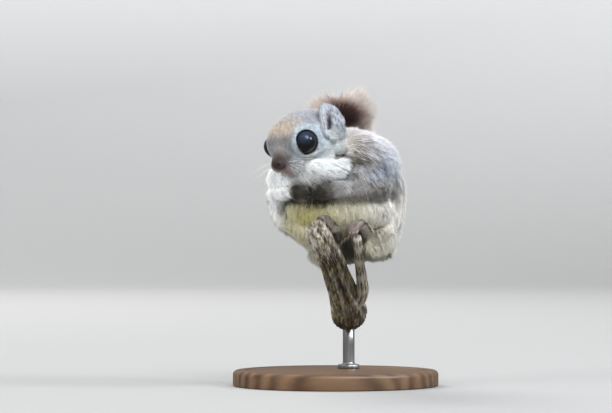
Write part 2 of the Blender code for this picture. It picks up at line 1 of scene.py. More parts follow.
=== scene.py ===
"""The looks of a small flying squirrel that crouches on a forked branch stub over a display stand.

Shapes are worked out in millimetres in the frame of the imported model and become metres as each
mesh is made. The animal faces -Y, its left is +X, and up is +Z.
"""
import math

import bpy
import numpy as np
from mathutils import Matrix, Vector


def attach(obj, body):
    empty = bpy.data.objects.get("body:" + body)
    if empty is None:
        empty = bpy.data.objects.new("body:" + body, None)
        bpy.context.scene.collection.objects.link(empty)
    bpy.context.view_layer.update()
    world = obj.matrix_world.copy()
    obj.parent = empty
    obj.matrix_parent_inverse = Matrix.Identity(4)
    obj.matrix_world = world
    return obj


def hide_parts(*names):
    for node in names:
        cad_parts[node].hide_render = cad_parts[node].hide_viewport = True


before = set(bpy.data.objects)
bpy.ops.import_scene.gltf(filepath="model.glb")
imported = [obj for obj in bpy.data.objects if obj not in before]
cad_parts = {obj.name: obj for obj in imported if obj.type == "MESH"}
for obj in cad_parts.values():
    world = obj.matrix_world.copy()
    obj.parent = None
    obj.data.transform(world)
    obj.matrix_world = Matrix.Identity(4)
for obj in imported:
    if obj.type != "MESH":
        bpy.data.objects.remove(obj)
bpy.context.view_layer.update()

MM = 0.001

# The camera looks level along +Y from where the photo was taken, at the photo's scale of half a
# millimetre to a pixel at the animal.
PHOTO_WIDTH_MM = 306.0
CAMERA_BACK = 1.6
SENSOR_MM = 36.0
camera = bpy.data.objects.new("camera", bpy.data.cameras.new("camera"))
bpy.context.scene.collection.objects.link(camera)
camera.location = (-0.015, -0.020 - CAMERA_BACK, 0.09075)
camera.rotation_euler = (math.pi / 2, 0, 0)
camera.data.sensor_width = SENSOR_MM
camera.data.lens = SENSOR_MM * CAMERA_BACK / (PHOTO_WIDTH_MM * MM)
bpy.context.scene.camera = camera


# The studio: a pale floor that curves up into a wall all round, a wide soft light high in front, a
# small window light on the right, a weak fill on the left, one behind, and a pale sky.
def piece(name, points, faces, material=None, closed=True):
    """A mesh object from points in millimetres and faces of one size. A closed one is turned to
    face outwards: its signed volume is over 0."""
    points, faces = np.asarray(points, np.float32), np.asarray(faces, np.int32)
    if closed:
        a, b, c = (points[faces[:, k]].astype(float) - points.mean(0) for k in (0, 1, 2))
        volume = np.einsum("ij,ij->i", a, np.cross(b, c)).sum()
        if faces.shape[1] == 4:
            d = points[faces[:, 3]].astype(float) - points.mean(0)
            volume += np.einsum("ij,ij->i", a, np.cross(c, d)).sum()
        if volume < 0:
            faces = np.ascontiguousarray(faces[:, ::-1])
    mesh = bpy.data.meshes.new(name)
    mesh.vertices.add(len(points))
    mesh.vertices.foreach_set("co", (points * MM).ravel())
    mesh.loops.add(faces.size)
    mesh.loops.foreach_set("vertex_index", faces.ravel())
    mesh.polygons.add(len(faces))
    starts = np.arange(0, faces.size, faces.shape[1], dtype=np.int32)
    mesh.polygons.foreach_set("loop_start", starts)
    mesh.update(calc_edges=True)
    mesh.shade_smooth()
    obj = bpy.data.objects.new(name, mesh)
    bpy.context.scene.collection.objects.link(obj)
    if material is not None:
        mesh.materials.append(material)
    return obj


def grid_faces(rows, columns, closed=False):
    """Quads over points stored row by row. closed joins the last column to the first."""
    last = columns if closed else columns - 1
    i, j = np.meshgrid(np.arange(rows - 1), np.arange(last), indexing="ij")
    a, b = i * columns, (i + 1) * columns
    k = (j + 1) % columns
    return np.stack([a + j, a + k, b + k, b + j], -1).reshape(-1, 4)


def circle(sides):
    """Even angles round a circle."""
    return np.linspace(0, 2 * math.pi, sides, endpoint=False)


def turned(profile, sides, middle=(0.0, 0.0)):
    """Points row by row: a profile of (radius, height) turned round an upright axis."""
    angle = circle(sides)
    reach, height = profile[:, :1], profile[:, 1:]
    rows = [middle[0] + reach * np.cos(angle), middle[1] + reach * np.sin(angle), height + 0 * angle]
    return np.stack(rows, -1).reshape(-1, 3)


def feed(socket, value):
    """Links an output to a socket, or sets the socket's number."""
    if isinstance(value, bpy.types.NodeSocket):
        socket.id_data.links.new(value, socket)
    else:
        socket.default_value = value


def wire(made, **inputs):
    """Feeds a node's inputs, which go by name with _ for a space, and returns the node."""
    for name, value in inputs.items():
        feed(made.inputs[name.replace("_", " ")], value)
    return made


def node(tree, kind, **inputs):
    """A new shader node with its inputs fed."""
    return wire(tree.nodes.new("ShaderNode" + kind), **inputs)


def reckoned(tree, operation, *values):
    """The result of a Math node on numbers or outputs."""
    made = tree.nodes.new("ShaderNodeMath")
    made.operation = operation
    for socket, value in zip(made.inputs, values):
        feed(socket, value)
    return made.outputs[0]


def plain_material(name, colour, roughness, **sockets):
    """A Principled material, its node tree and its shader, with numbers set on the shader."""
    made = bpy.data.materials.new(name)
    made.use_nodes = True
    shader = made.node_tree.nodes["Principled BSDF"]
    wire(shader, Base_Color=(*colour, 1.0), Roughness=roughness, **sockets)
    return made, made.node_tree, shader


FLOOR_RADIUS, FLOOR_BEND, WALL_TOP, FLOOR_SIDES = 2000.0, 1600.0, 2600.0, 96
bend = np.linspace(0, math.pi / 2, 24)[1:]
profile = np.concatenate([
    [[1.0, 0.0], [300.0, 0.0], [FLOOR_RADIUS, 0.0]],
    np.stack([FLOOR_RADIUS + FLOOR_BEND * np.sin(bend), FLOOR_BEND * (1 - np.cos(bend))], 1),
    [[FLOOR_RADIUS + FLOOR_BEND, WALL_TOP]],
])
floor_material, tree, shader = plain_material("studio_floor", (0.5, 0.5, 0.5), 0.9)
place = node(tree, "SeparateXYZ", Vector=node(tree, "TexCoord").outputs["Object"])
# The floor is darker than the wall, and dimmer in what glossy pieces mirror.
rise = node(tree, "MapRange", Value=place.outputs["Z"], From_Max=0.45, To_Min=0.33, To_Max=0.84)
mirrored_in = node(tree, "LightPath").outputs["Is Glossy Ray"]
dimmed = node(tree, "MapRange", Value=mirrored_in, To_Min=1.0, To_Max=0.3)
wire(shader, Base_Color=reckoned(tree, "MULTIPLY", rise.outputs["Result"], dimmed.outputs["Result"]))
floor_faces = grid_faces(len(profile), FLOOR_SIDES, closed=True)[:, ::-1]
studio_floor = piece("studio_floor", turned(profile, FLOOR_SIDES), floor_faces, floor_material, closed=False)

world = bpy.data.worlds.new("studio")
world.use_nodes = True
wire(world.node_tree.nodes["Background"], Color=(0.96, 0.98, 1.0, 1.0), Strength=0.62)
bpy.context.scene.world = world
bpy.context.scene.view_settings.view_transform = "Standard"


def soft_light(name, place, aim, size, power, colour):
    """A round area light at a place, turned to a point."""
    light = bpy.data.lights.new(name, "AREA")
    light.shape, light.size, light.energy, light.color = "DISK", size, power, colour
    lamp = bpy.data.objects.new(name, light)
    bpy.context.scene.collection.objects.link(lamp)
    lamp.location = place
    lamp.rotation_mode = "QUATERNION"
    lamp.rotation_quaternion = (Vector(aim) - Vector(place)).to_track_quat("-Z", "Y")
    return lamp


soft_light("light_high", (0.7, -1.5, 2.1), (0, 0, 0.1), 1.6, 54.0, (1.0, 0.995, 0.98))
soft_light("light_window", (1.75, -0.55, 1.25), (0, 0, 0.1), 0.62, 26.0, (0.86, 0.93, 1.0))
left_fill = soft_light("light_left", (-1.9, -1.3, 0.8), (0, 0, 0.1), 1.5, 46.0, (0.98, 0.99, 1.0))
back_fill = soft_light("light_back", (-0.7, 1.6, 1.5), (0, 0, 0.12), 1.1, 46.0, (1.0, 0.99, 0.97))
left_fill.visible_glossy = back_fill.visible_glossy = False


# The stand's foot: a round of dark hardwood turned on a lathe, with a rounded rim, a fine groove
# round its top and a satin oil finish. It rests on the floor.
def tube_faces(rows, columns):
    """Triangles round a closed tube: points row by row, then one that closes each end row."""
    quads = grid_faces(rows, columns, closed=True)
    j = np.arange(columns)
    k = (j + 1) % columns
    last, middle = (rows - 1) * columns, np.full(columns, rows * columns)
    foot, top = np.stack([k, j, middle], 1), np.stack([last + j, last + k, middle + 1], 1)
    return np.vstack([quads[:, [0, 1, 2]], quads[:, [0, 2, 3]], foot, top])


def lathed(name, profile, sides, material, middle=(0.0, 0.0)):
    """A closed solid of revolution, whose profile of (radius, height) starts and ends on the axis."""
    profile = np.array(profile, float)
    ends = [(*middle, profile[0, 1]), (*middle, profile[-1, 1])]
    points = np.vstack([turned(profile[1:-1], sides, middle), ends])
    return piece(name, points, tube_faces(len(profile) - 2, sides), material)


def grain_group():
    """Wood grain from a vector, a scale and a detail: Grain is fine noise, Rings are soft bands."""
    group = bpy.data.node_groups.new("wood_grain", "ShaderNodeTree")
    for title, value in (("Scale", 30.0), ("Detail", 6.0)):
        socket = group.interface.new_socket(title, in_out="INPUT", socket_type="NodeSocketFloat")
        socket.default_value = value
    group.interface.new_socket("Vector", in_out="INPUT", socket_type="NodeSocketVector")
    for title in ("Grain", "Rings"):
        group.interface.new_socket(title, in_out="OUTPUT", socket_type="NodeSocketFloat")
    inside, outside = group.nodes.new("NodeGroupInput"), group.nodes.new("NodeGroupOutput")
    vector, scale, detail = (inside.outputs[title] for title in ("Vector", "Scale", "Detail"))
    fine = node(group, "TexNoise", Vector=vector, Scale=scale, Detail=detail, Roughness=0.65)
    rings = node(group, "TexWave", Vector=vector, Scale=scale, Distortion=5.0, Detail=3.0, Detail_Scale=1.2)
    rings.wave_type, rings.bands_direction = "BANDS", "Y"
    wire(outside, Grain=fine.outputs["Fac"], Rings=rings.outputs["Fac"])
    return group


GRAIN = grain_group()


def grained(tree, vector, scale, detail=6.0):
    """The grain and rings of wood over a vector."""
    made = tree.nodes.new("ShaderNodeGroup")
    made.node_tree = GRAIN
    return wire(made, Vector=vector, Scale=scale, Detail=detail).outputs


def ramp(tree, source, stops):
    """The colour that a ramp of (place, colour or grey) stops gives to an output."""
    made = node(tree, "ValToRGB", Fac=source)
    while len(made.color_ramp.elements) < len(stops):
        made.color_ramp.elements.new(0.5)
    for element, (place, colour) in zip(made.color_ramp.elements, stops):
        element.position, element.color = place, (*np.broadcast_to(colour, 3), 1.0)
    return made.outputs["Color"]


def mapped(tree, scale=(1, 1, 1), turn=(0, 0, 0)):
    """The piece's own coordinates, scaled and turned."""
    where = node(tree, "TexCoord").outputs["Object"]
    return node(tree, "Mapping", Vector=where, Scale=scale, Rotation=turn).outputs["Vector"]


def bumped(shader, height, distance):
    """A Bump node from a height to the shader's normal."""
    bump = node(shader.id_data, "Bump", Height=height, Distance=distance)
    wire(shader, Normal=bump.outputs["Normal"])


base_material, tree, shader = plain_material(
    "turned_hardwood", (0.1, 0.06, 0.035), 0.42, Coat_Weight=0.15, Coat_Roughness=0.3)
grain = grained(tree, mapped(tree, (0.12, 1.0, 1.0)), 45.0)
half = reckoned(tree, "MULTIPLY", grain["Grain"], 0.75)
mix = reckoned(tree, "MULTIPLY_ADD", grain["Rings"], 0.35, half)
brown = [(0.25, (0.050, 0.026, 0.014)), (0.5, (0.105, 0.058, 0.030)), (0.78, (0.165, 0.096, 0.052))]
wire(shader, Base_Color=ramp(tree, mix, brown), Roughness=ramp(tree, mix, [(0.2, 0.36), (0.8, 0.52)]))
bumped(shader, grain["Grain"], 0.00012)

BASE_RADIUS, BASE_HEIGHT, FOOT_RIM, RIM, GROOVE_AT = 52.0, 8.0, 0.8, 2.2, 45.0
low_rim = [
    (BASE_RADIUS - FOOT_RIM + FOOT_RIM * math.sin(a), FOOT_RIM - FOOT_RIM * math.cos(a))
    for a in np.linspace(0, math.pi / 2, 4)
]
top_rim = [
    (BASE_RADIUS - RIM + RIM * math.cos(a), BASE_HEIGHT - RIM + RIM * math.sin(a))
    for a in np.linspace(0, math.pi / 2, 8)
]
groove = [
    (GROOVE_AT + r, BASE_HEIGHT - d)
    for r, d in ((0.9, 0.0), (0.55, 0.1), (0.3, 0.45), (-0.3, 0.45), (-0.55, 0.1), (-0.9, 0.0))
]
collar = [(ring, BASE_HEIGHT) for ring in (36.0, 24.0, 12.0, 0.0)]
profile = [(0, 0), (BASE_RADIUS - 6, 0)] + low_rim + top_rim + groove + collar
base = lathed("stand_foot", profile, 160, base_material)
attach(base, "root")
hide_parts("stand_base")


# The stand's rod: drawn steel with a brushed finish, pushed into the foot through a small turned
# ferrule and up into the branch stub.
def noise(tree, scale, vector=None, detail=2.0):
    """Fine noise over the piece's own coordinates, or over a vector."""
    vector = mapped(tree) if vector is None else vector
    return node(tree, "TexNoise", Vector=vector, Scale=scale, Detail=detail).outputs["Fac"]


rod_material, tree, shader = plain_material("brushed_steel", (0.48, 0.48, 0.49), 0.34, Metallic=1.0)
brushed = noise(tree, 900.0, mapped(tree, (1.0, 1.0, 0.04)))
steel = ramp(tree, brushed, [(0.3, (0.40, 0.40, 0.41)), (0.7, (0.56, 0.56, 0.57))])
wire(shader, Base_Color=steel, Roughness=ramp(tree, brushed, [(0.3, 0.26), (0.7, 0.42)]))
bumped(shader, brushed, 0.00003)
ROD_RADIUS, ROD_AT, ROD_TOP = 3.0, (6.8, 15.0), 31.5
ferrule = [(0, 8.1), (5.4, 8.1), (5.6, 8.3), (5.6, 9.6), (5.2, 10.1), (3.6, 10.4), (3.1, 10.8)]
shaft = [(ROD_RADIUS, 11.2), (ROD_RADIUS, 20), (ROD_RADIUS, ROD_TOP), (0, ROD_TOP)]
rod = lathed("stand_rod_steel", ferrule + shaft, 48, rod_material, ROD_AT)
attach(rod, "root")
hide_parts("stand_rod")


# The perch: a short cut length of a dead forked stub, sawn off at its root. Its thick prong has
# weathered to grey splinters at the broken end, its thin one is a bare twig. Both are one wood.
def unit(v):
    """Directions of length 1."""
    return v / np.maximum(np.linalg.norm(v, axis=-1, keepdims=True), 1e-9)


def smooth_path(points, count):
    """A Catmull-Rom curve through the points, read at even steps of its parameter."""
    p = np.array(points, float)
    p = np.vstack([2 * p[0] - p[1], p, 2 * p[-1] - p[-2]])
    at = np.linspace(0, len(points) - 1, count)
    i = np.minimum(at.astype(int), len(points) - 2)
    t = (at - i)[:, None]
    a, b, c, d = p[i], p[i + 1], p[i + 2], p[i + 3]
    bend, twist = 2 * a - 5 * b + 4 * c - d, 3 * b - a - 3 * c + d
    return 0.5 * (2 * b + (c - a) * t + bend * t**2 + twist * t**3)


def evenly(values, count):
    """Values read at even steps between the first and the last."""
    return np.interp(np.linspace(0, 1, count), np.linspace(0, 1, len(values)), values)


def path_frame(path, side=(1.0, 0.0, 0.0)):
    """The directions along a path, across it towards side, and square to both."""
    along = unit(np.gradient(path, axis=0))
    side = np.broadcast_to(np.array(side, float), path.shape)
    across = unit(side - along * (side * along).sum(1, keepdims=True))
    return along, across, np.cross(along, across)


def waves(points, lengths, seed, count=24):
    """Smooth noise about 0, of size about 1: a sum of sines in random directions, their
    wavelengths in the given range."""
    dice = np.random.default_rng(seed)
    way = unit(dice.normal(size=(count, 3)))
    size = 2 * math.pi / dice.uniform(*lengths, size=count)
    shift = dice.uniform(0, 2 * math.pi, count)
    return np.sin(points @ (way * size[:, None]).T + shift).sum(-1) * math.sqrt(2 / count)


def spoke(angle, across, through):
    """Directions at angles from across towards through: cos across + sin through."""
    return np.cos(angle)[..., None] * across + np.sin(angle)[..., None] * through


def rough_tube(path, radius, sides, relief=None, side=(1.0, 0.0, 0.0)):
    """A tube along a path, closed at each end; relief(share along, angle) is added to its radius."""
    _, across, through = path_frame(path, side)
    angle = circle(sides)[None, :]
    reach = radius[:, None] + 0 * angle
    if relief is not None:
        reach = reach + relief(np.linspace(0, 1, len(path))[:, None], angle)
    rows = path[:, None] + reach[..., None] * spoke(angle, across[:, None], through[:, None])
    points = np.vstack([rows.reshape(-1, 3), rows[0].mean(0), rows[-1].mean(0)])
    return points, tube_faces(len(path), sides)


STUB = [
    (7, 20, 35.5), (6.5, 9, 39.5), (4.5, -4, 46), (1, -18, 55), (-3, -31, 65.5), (-7.5, -40, 74), (-10.5, -44.5, 79.5)
]
STUB_RADII = [9.0, 8.8, 7.8, 6.8, 6.1, 5.6, 5.0]
STUB_ROWS, STUB_SIDES = 120, 96
TWIG = [(8, 3, 42.5), (13.0, -6, 47), (13.0, -14, 54), (11.8, -23, 62), (11.0, -31, 69.5), (10.3, -37, 75.8)]
TWIG_RADII = [6.0, 3.4, 2.7, 2.4, 2.2, 2.0]
TWIG_ROWS, TWIG_SIDES = 90, 48


def ridge_depth(share):
    """How deep the stub's ridges are, a share of the way to its broken end."""
    return 0.26 + 0.36 * share**3


def stub_relief(share, angle):
    """Long ridges that turn slowly round the stub and break up, deeper towards its broken end."""
    broad = np.sin(7 * angle + 3.0 * share + 1.3 * np.sin(2 * angle + 4 * share))
    middling = np.sin(15 * angle - 5 * share + 2.1 * np.sin(angle * 3))
    ridges = broad * (0.6 + 0.4 * np.sin(13 * share + 3 * angle))
    ridges = ridges + 0.6 * middling * (0.6 + 0.5 * np.sin(23 * share + angle))
    ridges = ridges + 0.4 * np.sin(26 * angle + 9 * share + 2 * np.sin(17 * share))
    knots = 0.5 * np.sin(11 * share + 2 * np.sin(angle)) + 0.35 * np.sin(29 * share + angle * 2)
    return ridge_depth(share) * ridges + 0.30 * knots


def twig_relief(share, angle):
    """Fine fibres along the twig and the slight swellings of its old buds."""
    fibre = 0.07 * np.sin(9 * angle + 2 * share) + 0.05 * np.sin(19 * angle - 4 * share)
    return fibre + 0.16 * np.sin(17 * share) ** 4


# A spike has seven points: three round its root, three round its middle, and its tip.
SPIKE_FACES = np.array([
    [0, 2, 1], [0, 1, 4], [0, 4, 3], [1, 2, 5], [1, 5, 4], [2, 0, 3], [2, 3, 5], [3, 4, 6], [4, 5, 6], [5, 3, 6]
])


def repeated(faces, count):
    """The faces of many small pieces that have the same faces over their own points."""
    points_each = faces.max() + 1
    return (faces[None] + points_each * np.arange(count)[:, None, None]).reshape(-1, 3)


def spikes(root, middle, tip, ring, wide, low, high):
    """Three-sided spikes, low times as wide as wide at the root and high times in the middle."""
    rows = [root + r * wide * low for r in ring] + [middle + r * wide * high for r in ring] + [tip]
    return np.stack(rows, 1).reshape(-1, 3), repeated(SPIKE_FACES, len(root))


def splinters(path, radius, count, lengths, seed):
    """Torn fibres: thin spikes that stand along the grain on the broken end."""
    dice = np.random.default_rng(seed)
    ahead, across, through = (way[-1] for way in path_frame(path))
    turn = dice.uniform(0, 2 * math.pi, count)
    far = np.sqrt(dice.uniform(0.15, 1.0, count)) * radius
    out = spoke(turn, across, through)
    sunk = 2.2
    root = path[-1] + out * far[:, None] - ahead * sunk
    length = (dice.uniform(*lengths, count) + sunk)[:, None]
    tip = root + ahead * length + out * dice.uniform(-0.4, 0.5, (count, 1)) + dice.normal(size=(count, 3)) * 0.25
    middle = root * 0.45 + tip * 0.55 + dice.normal(size=(count, 3)) * 0.15
    wide = dice.uniform(0.5, 1.1, (count, 1))
    skew = np.cross(np.broadcast_to(ahead, out.shape), out)
    return spikes(root, middle, tip, [skew * 0.5, -skew * 0.5, out * 0.45], wide, 1.0, 0.8)


def fibres(path, radius, count, from_share, lengths, widths, seed):
    """Fibres that have come away: flat spikes that lie along the outside of the wood and lift a
    little at their tips."""
    dice = np.random.default_rng(seed)
    along, across, through = path_frame(path)
    at = 1 - (1 - from_share) * dice.beta(1.0, 1.6, count)
    i = (at * (len(path) - 1)).astype(int)
    out = spoke(dice.uniform(0, 2 * math.pi, count), across[i], through[i])
    length = dice.uniform(*lengths, (count, 1))
    root = path[i] + out * (radius[i][:, None] - 0.25) - along[i] * length * 0.5
    middle = root + along[i] * length * 0.5 + out * dice.uniform(0.0, 0.5, (count, 1))
    tip = root + along[i] * length + out * dice.uniform(0.1, 1.3, (count, 1)) + dice.normal(size=(count, 3)) * 0.25
    side, wide = np.cross(along[i], out), dice.uniform(*widths, (count, 1))
    return spikes(root, middle, tip, [side * 0.5, -side * 0.5, out * 0.6], wide, 0.7, 1.0)


def merged(parts):
    """Several (points, triangles) as one."""
    starts = np.cumsum([0] + [len(points) for points, _ in parts[:-1]])
    faces = [faces + start for (_, faces), start in zip(parts, starts)]
    return np.vstack([points for points, _ in parts]), np.vstack(faces)


stub_path, twig_path = smooth_path(STUB, STUB_ROWS), smooth_path(TWIG, TWIG_ROWS)
stub_radius, twig_radius = evenly(STUB_RADII, STUB_ROWS), evenly(TWIG_RADII, TWIG_ROWS)
stub_radius[-4:] *= [0.97, 0.9, 0.8, 0.62]
twig_radius[-4:] *= [0.98, 0.94, 0.86, 0.7]
points, faces = merged([
    rough_tube(stub_path, stub_radius, STUB_SIDES, stub_relief),
    rough_tube(twig_path, twig_radius, TWIG_SIDES, twig_relief),
    splinters(stub_path, 4.8, 110, (0.2, 4.2), 3),
    splinters(twig_path, 1.7, 20, (0.2, 1.8), 5),
    fibres(stub_path, stub_radius, 330, 0.66, (2.5, 9.0), (0.22, 0.55), 13),
    fibres(twig_path, twig_radius, 24, 0.80, (1.5, 3.5), (0.2, 0.35), 17),
])


def painted(tree, name, output="Color"):
    """What one of the mesh's attributes says."""
    made = tree.nodes.new("ShaderNodeAttribute")
    made.attribute_name = name
    return made.outputs[output]


def mixed(tree, first, second, share, blend="MULTIPLY"):
    """Two colours: the second multiplied into the first, or laid over it, by a share."""
    made = node(tree, "MixRGB", Fac=share, Color1=first, Color2=second)
    made.blend_type = blend
    return made.outputs["Color"]


def point_values(mesh, name, values):
    """A number for each point of a mesh."""
    layer = mesh.attributes.new(name, "FLOAT", "POINT")
    layer.data.foreach_set("value", np.asarray(values, np.float32))


wood_material, tree, shader = plain_material("weathered_wood", (0.12, 0.1, 0.08), 0.88, Specular_IOR_Level=0.3)
ALONG_STUB = (math.radians(-45), 0, math.radians(-8))
grain = grained(tree, mapped(tree, (1.0, 0.26, 0.26), ALONG_STUB), 620.0, 8.0)["Grain"]
lowered = reckoned(tree, "ADD", grain, -0.12)
raised = reckoned(tree, "MULTIPLY_ADD", painted(tree, "ridge", "Fac"), 0.26, lowered)
flakes = node(tree, "TexVoronoi", Vector=mapped(tree, (1.0, 0.20, 0.20), ALONG_STUB), Scale=260.0)
flakes.feature = "DISTANCE_TO_EDGE"
cracks = ramp(tree, flakes.outputs["Distance"], [(0.0, 0.40), (0.08, 1.0)])
bark = ramp(tree, raised, [
    (0.32, (0.022, 0.018, 0.014)), (0.46, (0.080, 0.070, 0.055)),
    (0.58, (0.155, 0.140, 0.115)), (0.72, (0.340, 0.325, 0.290)),
])
moss = ramp(tree, noise(tree, 110.0, detail=5.0), [(0.42, (1.0, 0.97, 0.92)), (0.60, (0.92, 0.86, 0.50))])
tinted = mixed(tree, mixed(tree, bark, moss, 1.0), cracks, 0.55)
pale = ramp(tree, raised, [(0.36, (0.10, 0.075, 0.055)), (0.48, (0.36, 0.31, 0.25)), (0.62, (0.66, 0.62, 0.55))])
bleached = mixed(tree, tinted, pale, painted(tree, "worn", "Fac"), "MIX")
wire(shader, Base_Color=bleached)
bumped(shader, reckoned(tree, "MULTIPLY", grain, cracks), 0.0011)

perch = piece("branch_stub", points, faces, wood_material)


def tube_places(rows, sides):
    """The share along and the angle round of each point of a rough tube."""
    return np.linspace(0, 1, rows).repeat(sides), np.tile(circle(sides), rows)


stub_share, stub_turn = tube_places(STUB_ROWS, STUB_SIDES)
twig_share, twig_turn = tube_places(TWIG_ROWS, TWIG_SIDES)
stub_ridge = np.clip(0.5 + 0.9 * (stub_relief(stub_share, stub_turn) / ridge_depth(stub_share)) / 2.0, 0, 1)
twig_ridge = np.clip(0.5 + twig_relief(twig_share, twig_turn) / 0.16, 0, 1)
patchy = np.clip(0.7 + 0.5 * waves(points[:len(stub_share)], (1.5, 5.0), 11), 0, 1)
stub_wear = 0.85 * np.clip((stub_share - 0.74) / 0.2, 0, 1) * patchy
twig_wear = 0.35 + 0.6 * np.clip((twig_share - 0.9) / 0.08, 0, 1)
# The points after the two prongs, each of which has two more that close its ends, are the spikes'.
loose = len(points) - (len(stub_wear) + 2) - (len(twig_wear) + 2)
spike_points = SPIKE_FACES.max() + 1
loose_ridge = np.random.default_rng(19).uniform(0.3, 1.0, loose // spike_points).repeat(spike_points)
point_values(perch.data, "worn", np.concatenate([stub_wear, [0, 0.8], twig_wear, [0, 0.9], np.full(loose, 0.8)]))
point_values(perch.data, "ridge", np.concatenate([stub_ridge, [0.5, 0.5], twig_ridge, [0.5, 0.5], loose_ridge]))
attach(perch, "root")
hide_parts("perch")

# The sawn root of the stub: a flat pale face with year rings round its pith and a fine saw mark.
sawn_material, tree, shader = plain_material("sawn_end", (0.3, 0.22, 0.14), 0.8)
year = painted(tree, "years", "Fac")
rings = ramp(tree, year, [(0.2, (0.17, 0.115, 0.07)), (0.5, (0.33, 0.245, 0.16)), (0.8, (0.42, 0.33, 0.22))])
wire(shader, Base_Color=rings)
bumped(shader, year, 0.0001)
SAWN_ROWS = 47
along, across, through = (way[0] for way in path_frame(stub_path))
out, angle = np.meshgrid(np.linspace(0, 1, SAWN_ROWS + 1)[1:], circle(STUB_SIDES), indexing="ij")
edge = (stub_radius[0] + stub_relief(0.0, angle)) * 0.985
flat = stub_path[0] - along * (0.35 * (1 - out[..., None] ** 8) - 0.15)
disc = (flat + (edge * out)[..., None] * spoke(angle, across, through)).reshape(-1, 3)
wobble = 0.9 * np.sin(2 * angle) + 0.5 * waves(disc, (2.0, 5.0), 23).reshape(out.shape)
years = np.sin(2 * math.pi * 9 * out**0.8 + wobble)
points = np.vstack([disc, stub_path[0] - along * 0.2, stub_path[0] + along * 0.6])
sawn = piece("stub_sawn_end", points, tube_faces(SAWN_ROWS, STUB_SIDES), sawn_material)
point_values(sawn.data, "years", np.concatenate([0.5 + 0.4 * years.ravel(), [0.2, 0.2]]))
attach(sawn, "root")


# The body under its coat. Every mass is an ellipsoid or a string of balls, given by its outside
# over the coat; the coat's depth there is taken off, and neighbours blend softly into each other.
HEAD_MIDDLE = np.array([-17.9, -27.0, 122.5])
HEAD_YAW, HEAD_PITCH, HEAD_ROLL = (math.radians(a) for a in (38.0, 19.0, 6.0))
level_share = math.cos(HEAD_PITCH)
ahead = np.array([-math.sin(HEAD_YAW) * level_share, -math.cos(HEAD_YAW) * level_share, -math.sin(HEAD_PITCH)])
level = np.array([math.cos(HEAD_YAW), -math.sin(HEAD_YAW), 0.0])
leftward = level * math.cos(HEAD_ROLL) + np.cross(ahead, level) * math.sin(HEAD_ROLL)
HEAD_AXES = np.stack([ahead, leftward, np.cross(ahead, leftward)])  # forward, left, up
EYE_RADIUS = 6.2
EYE_PLACE = np.array([7.3, 9.1, 1.7])
EYE_AIM = unit(np.array([0.52, 0.84, 0.14]))
NOSE = np.array([21.0, 0.0, -4.3])
SIDES = {"left": 1, "right": -1}


def from_head(points):
    """Places in the head, (forward, left, up) from its middle, as places in the model."""
    return HEAD_MIDDLE + np.asarray(points, float) @ HEAD_AXES


def to_head(points):
    """Places in the model as places in the head."""
    return (points - HEAD_MIDDLE) @ HEAD_AXES.T


def mirrored(point, side):
    """A place or direction in the head, on its left (1) or right (-1)."""
    return np.asarray(point, float) * (1, side, 1)


def limb(points, radii, count=22):
    """A limb's path and its radii at even steps."""
    return smooth_path(points, count), evenly(radii, count)


# Each row: part, blend with what is there, coat depth, and an ellipsoid (middle, half sizes, axes)
# or a limb (path, radii).
MASSES = []


def mass(part, blend, coat, middle, half, in_head=False):
    """An ellipsoid of the body, or one that is placed and turned with the head."""
    middle, axes = (from_head(middle), HEAD_AXES) if in_head else (np.array(middle, float), None)
    MASSES.append((part, blend, coat, "ellipsoid", middle, np.array(half, float), axes))


def string(part, blend, coat, points, radii, count=22):
    """A limb of the body."""
    MASSES.append((part, blend, coat, "balls", *limb(points, radii, count), None))


mass("torso", 6.0, 4.6, (1.5, -6, 93), (33.5, 29.5, 26.5))
mass("torso", 8.0, 4.6, (5.5, 1.5, 107), (28.0, 26.5, 26.0))
mass("torso", 8.0, 4.6, (6.0, 2, 92), (29.0, 29.5, 27.0))
mass("torso", 8.0, 4.4, (6.0, 1, 79.5), (25.0, 27.5, 18.5))
mass("torso", 6.0, 4.4, (-7.5, -16, 102), (25.0, 21.0, 18.5))
mass("torso", 6.0, 4.4, (18.0, -6, 109.5), (16.0, 18.0, 18.0))
mass("torso", 6.0, 4.4, (-17.5, -8, 105), (16.0, 17.0, 17.0))
mass("belly", 4.0, 3.4, (0.5, -20, 88.5), (30.0, 17.5, 15.0))
mass("belly", 4.0, 3.4, (-0.8, -12, 80.2), (23.0, 18.0, 12.8))
mass("neck", 5.0, 3.4, (-7.0, -14, 118), (16.0, 15.0, 14.0))
mass("neck", 2.5, 2.6, (-16.0, -23.5, 105.0), (18.5, 13.5, 11.0))
ruff_line = [(-20, -27, 104.5), (-10, -31.5, 106.3), (-3.0, -31.5, 108.4), (0.6, -30.5, 109.6)]
string("neck", 3.0, 2.2, ruff_line, [7.0, 7.2, 6.9, 6.1])
mass("neck", 5.0, 1.8, (-11.0, -33.0, 110.0), (9.5, 8.0, 5.6))
mass("thigh_left", 3.0, 3.4, (18.2, -12.5, 73.4), (11.7, 17.5, 11.5))
mass("thigh_right", 3.0, 3.2, (-5.4, -12.5, 70.8), (11.4, 16.5, 11.6))
mass("arm_left", 4.0, 3.6, (13.5, -9, 113), (13.5, 14.0, 13.5))
mass("arm_left", 5.0, 3.4, (12.5, -19, 106.5), (13.5, 15.5, 10.0))
string("arm_left", 3.5, 3.4, [(15, -11, 113), (20.5, -18, 107.5), (21.5, -24, 102.5)], [12.5, 11.0, 8.2])
string("arm_left", 4.0, 2.2, [(21, -26, 101), (9, -34, 99.5), (-5, -38.5, 98.6)], [7.2, 5.8, 4.2])
mass("arm_right", 4.0, 3.6, (-20, -9, 109), (11.5, 13.0, 12.0))
string("arm_right", 3.0, 3.2, [(-21, -11, 109), (-25.5, -17, 104), (-27.5, -23, 99.5)], [10.5, 9.0, 7.0])
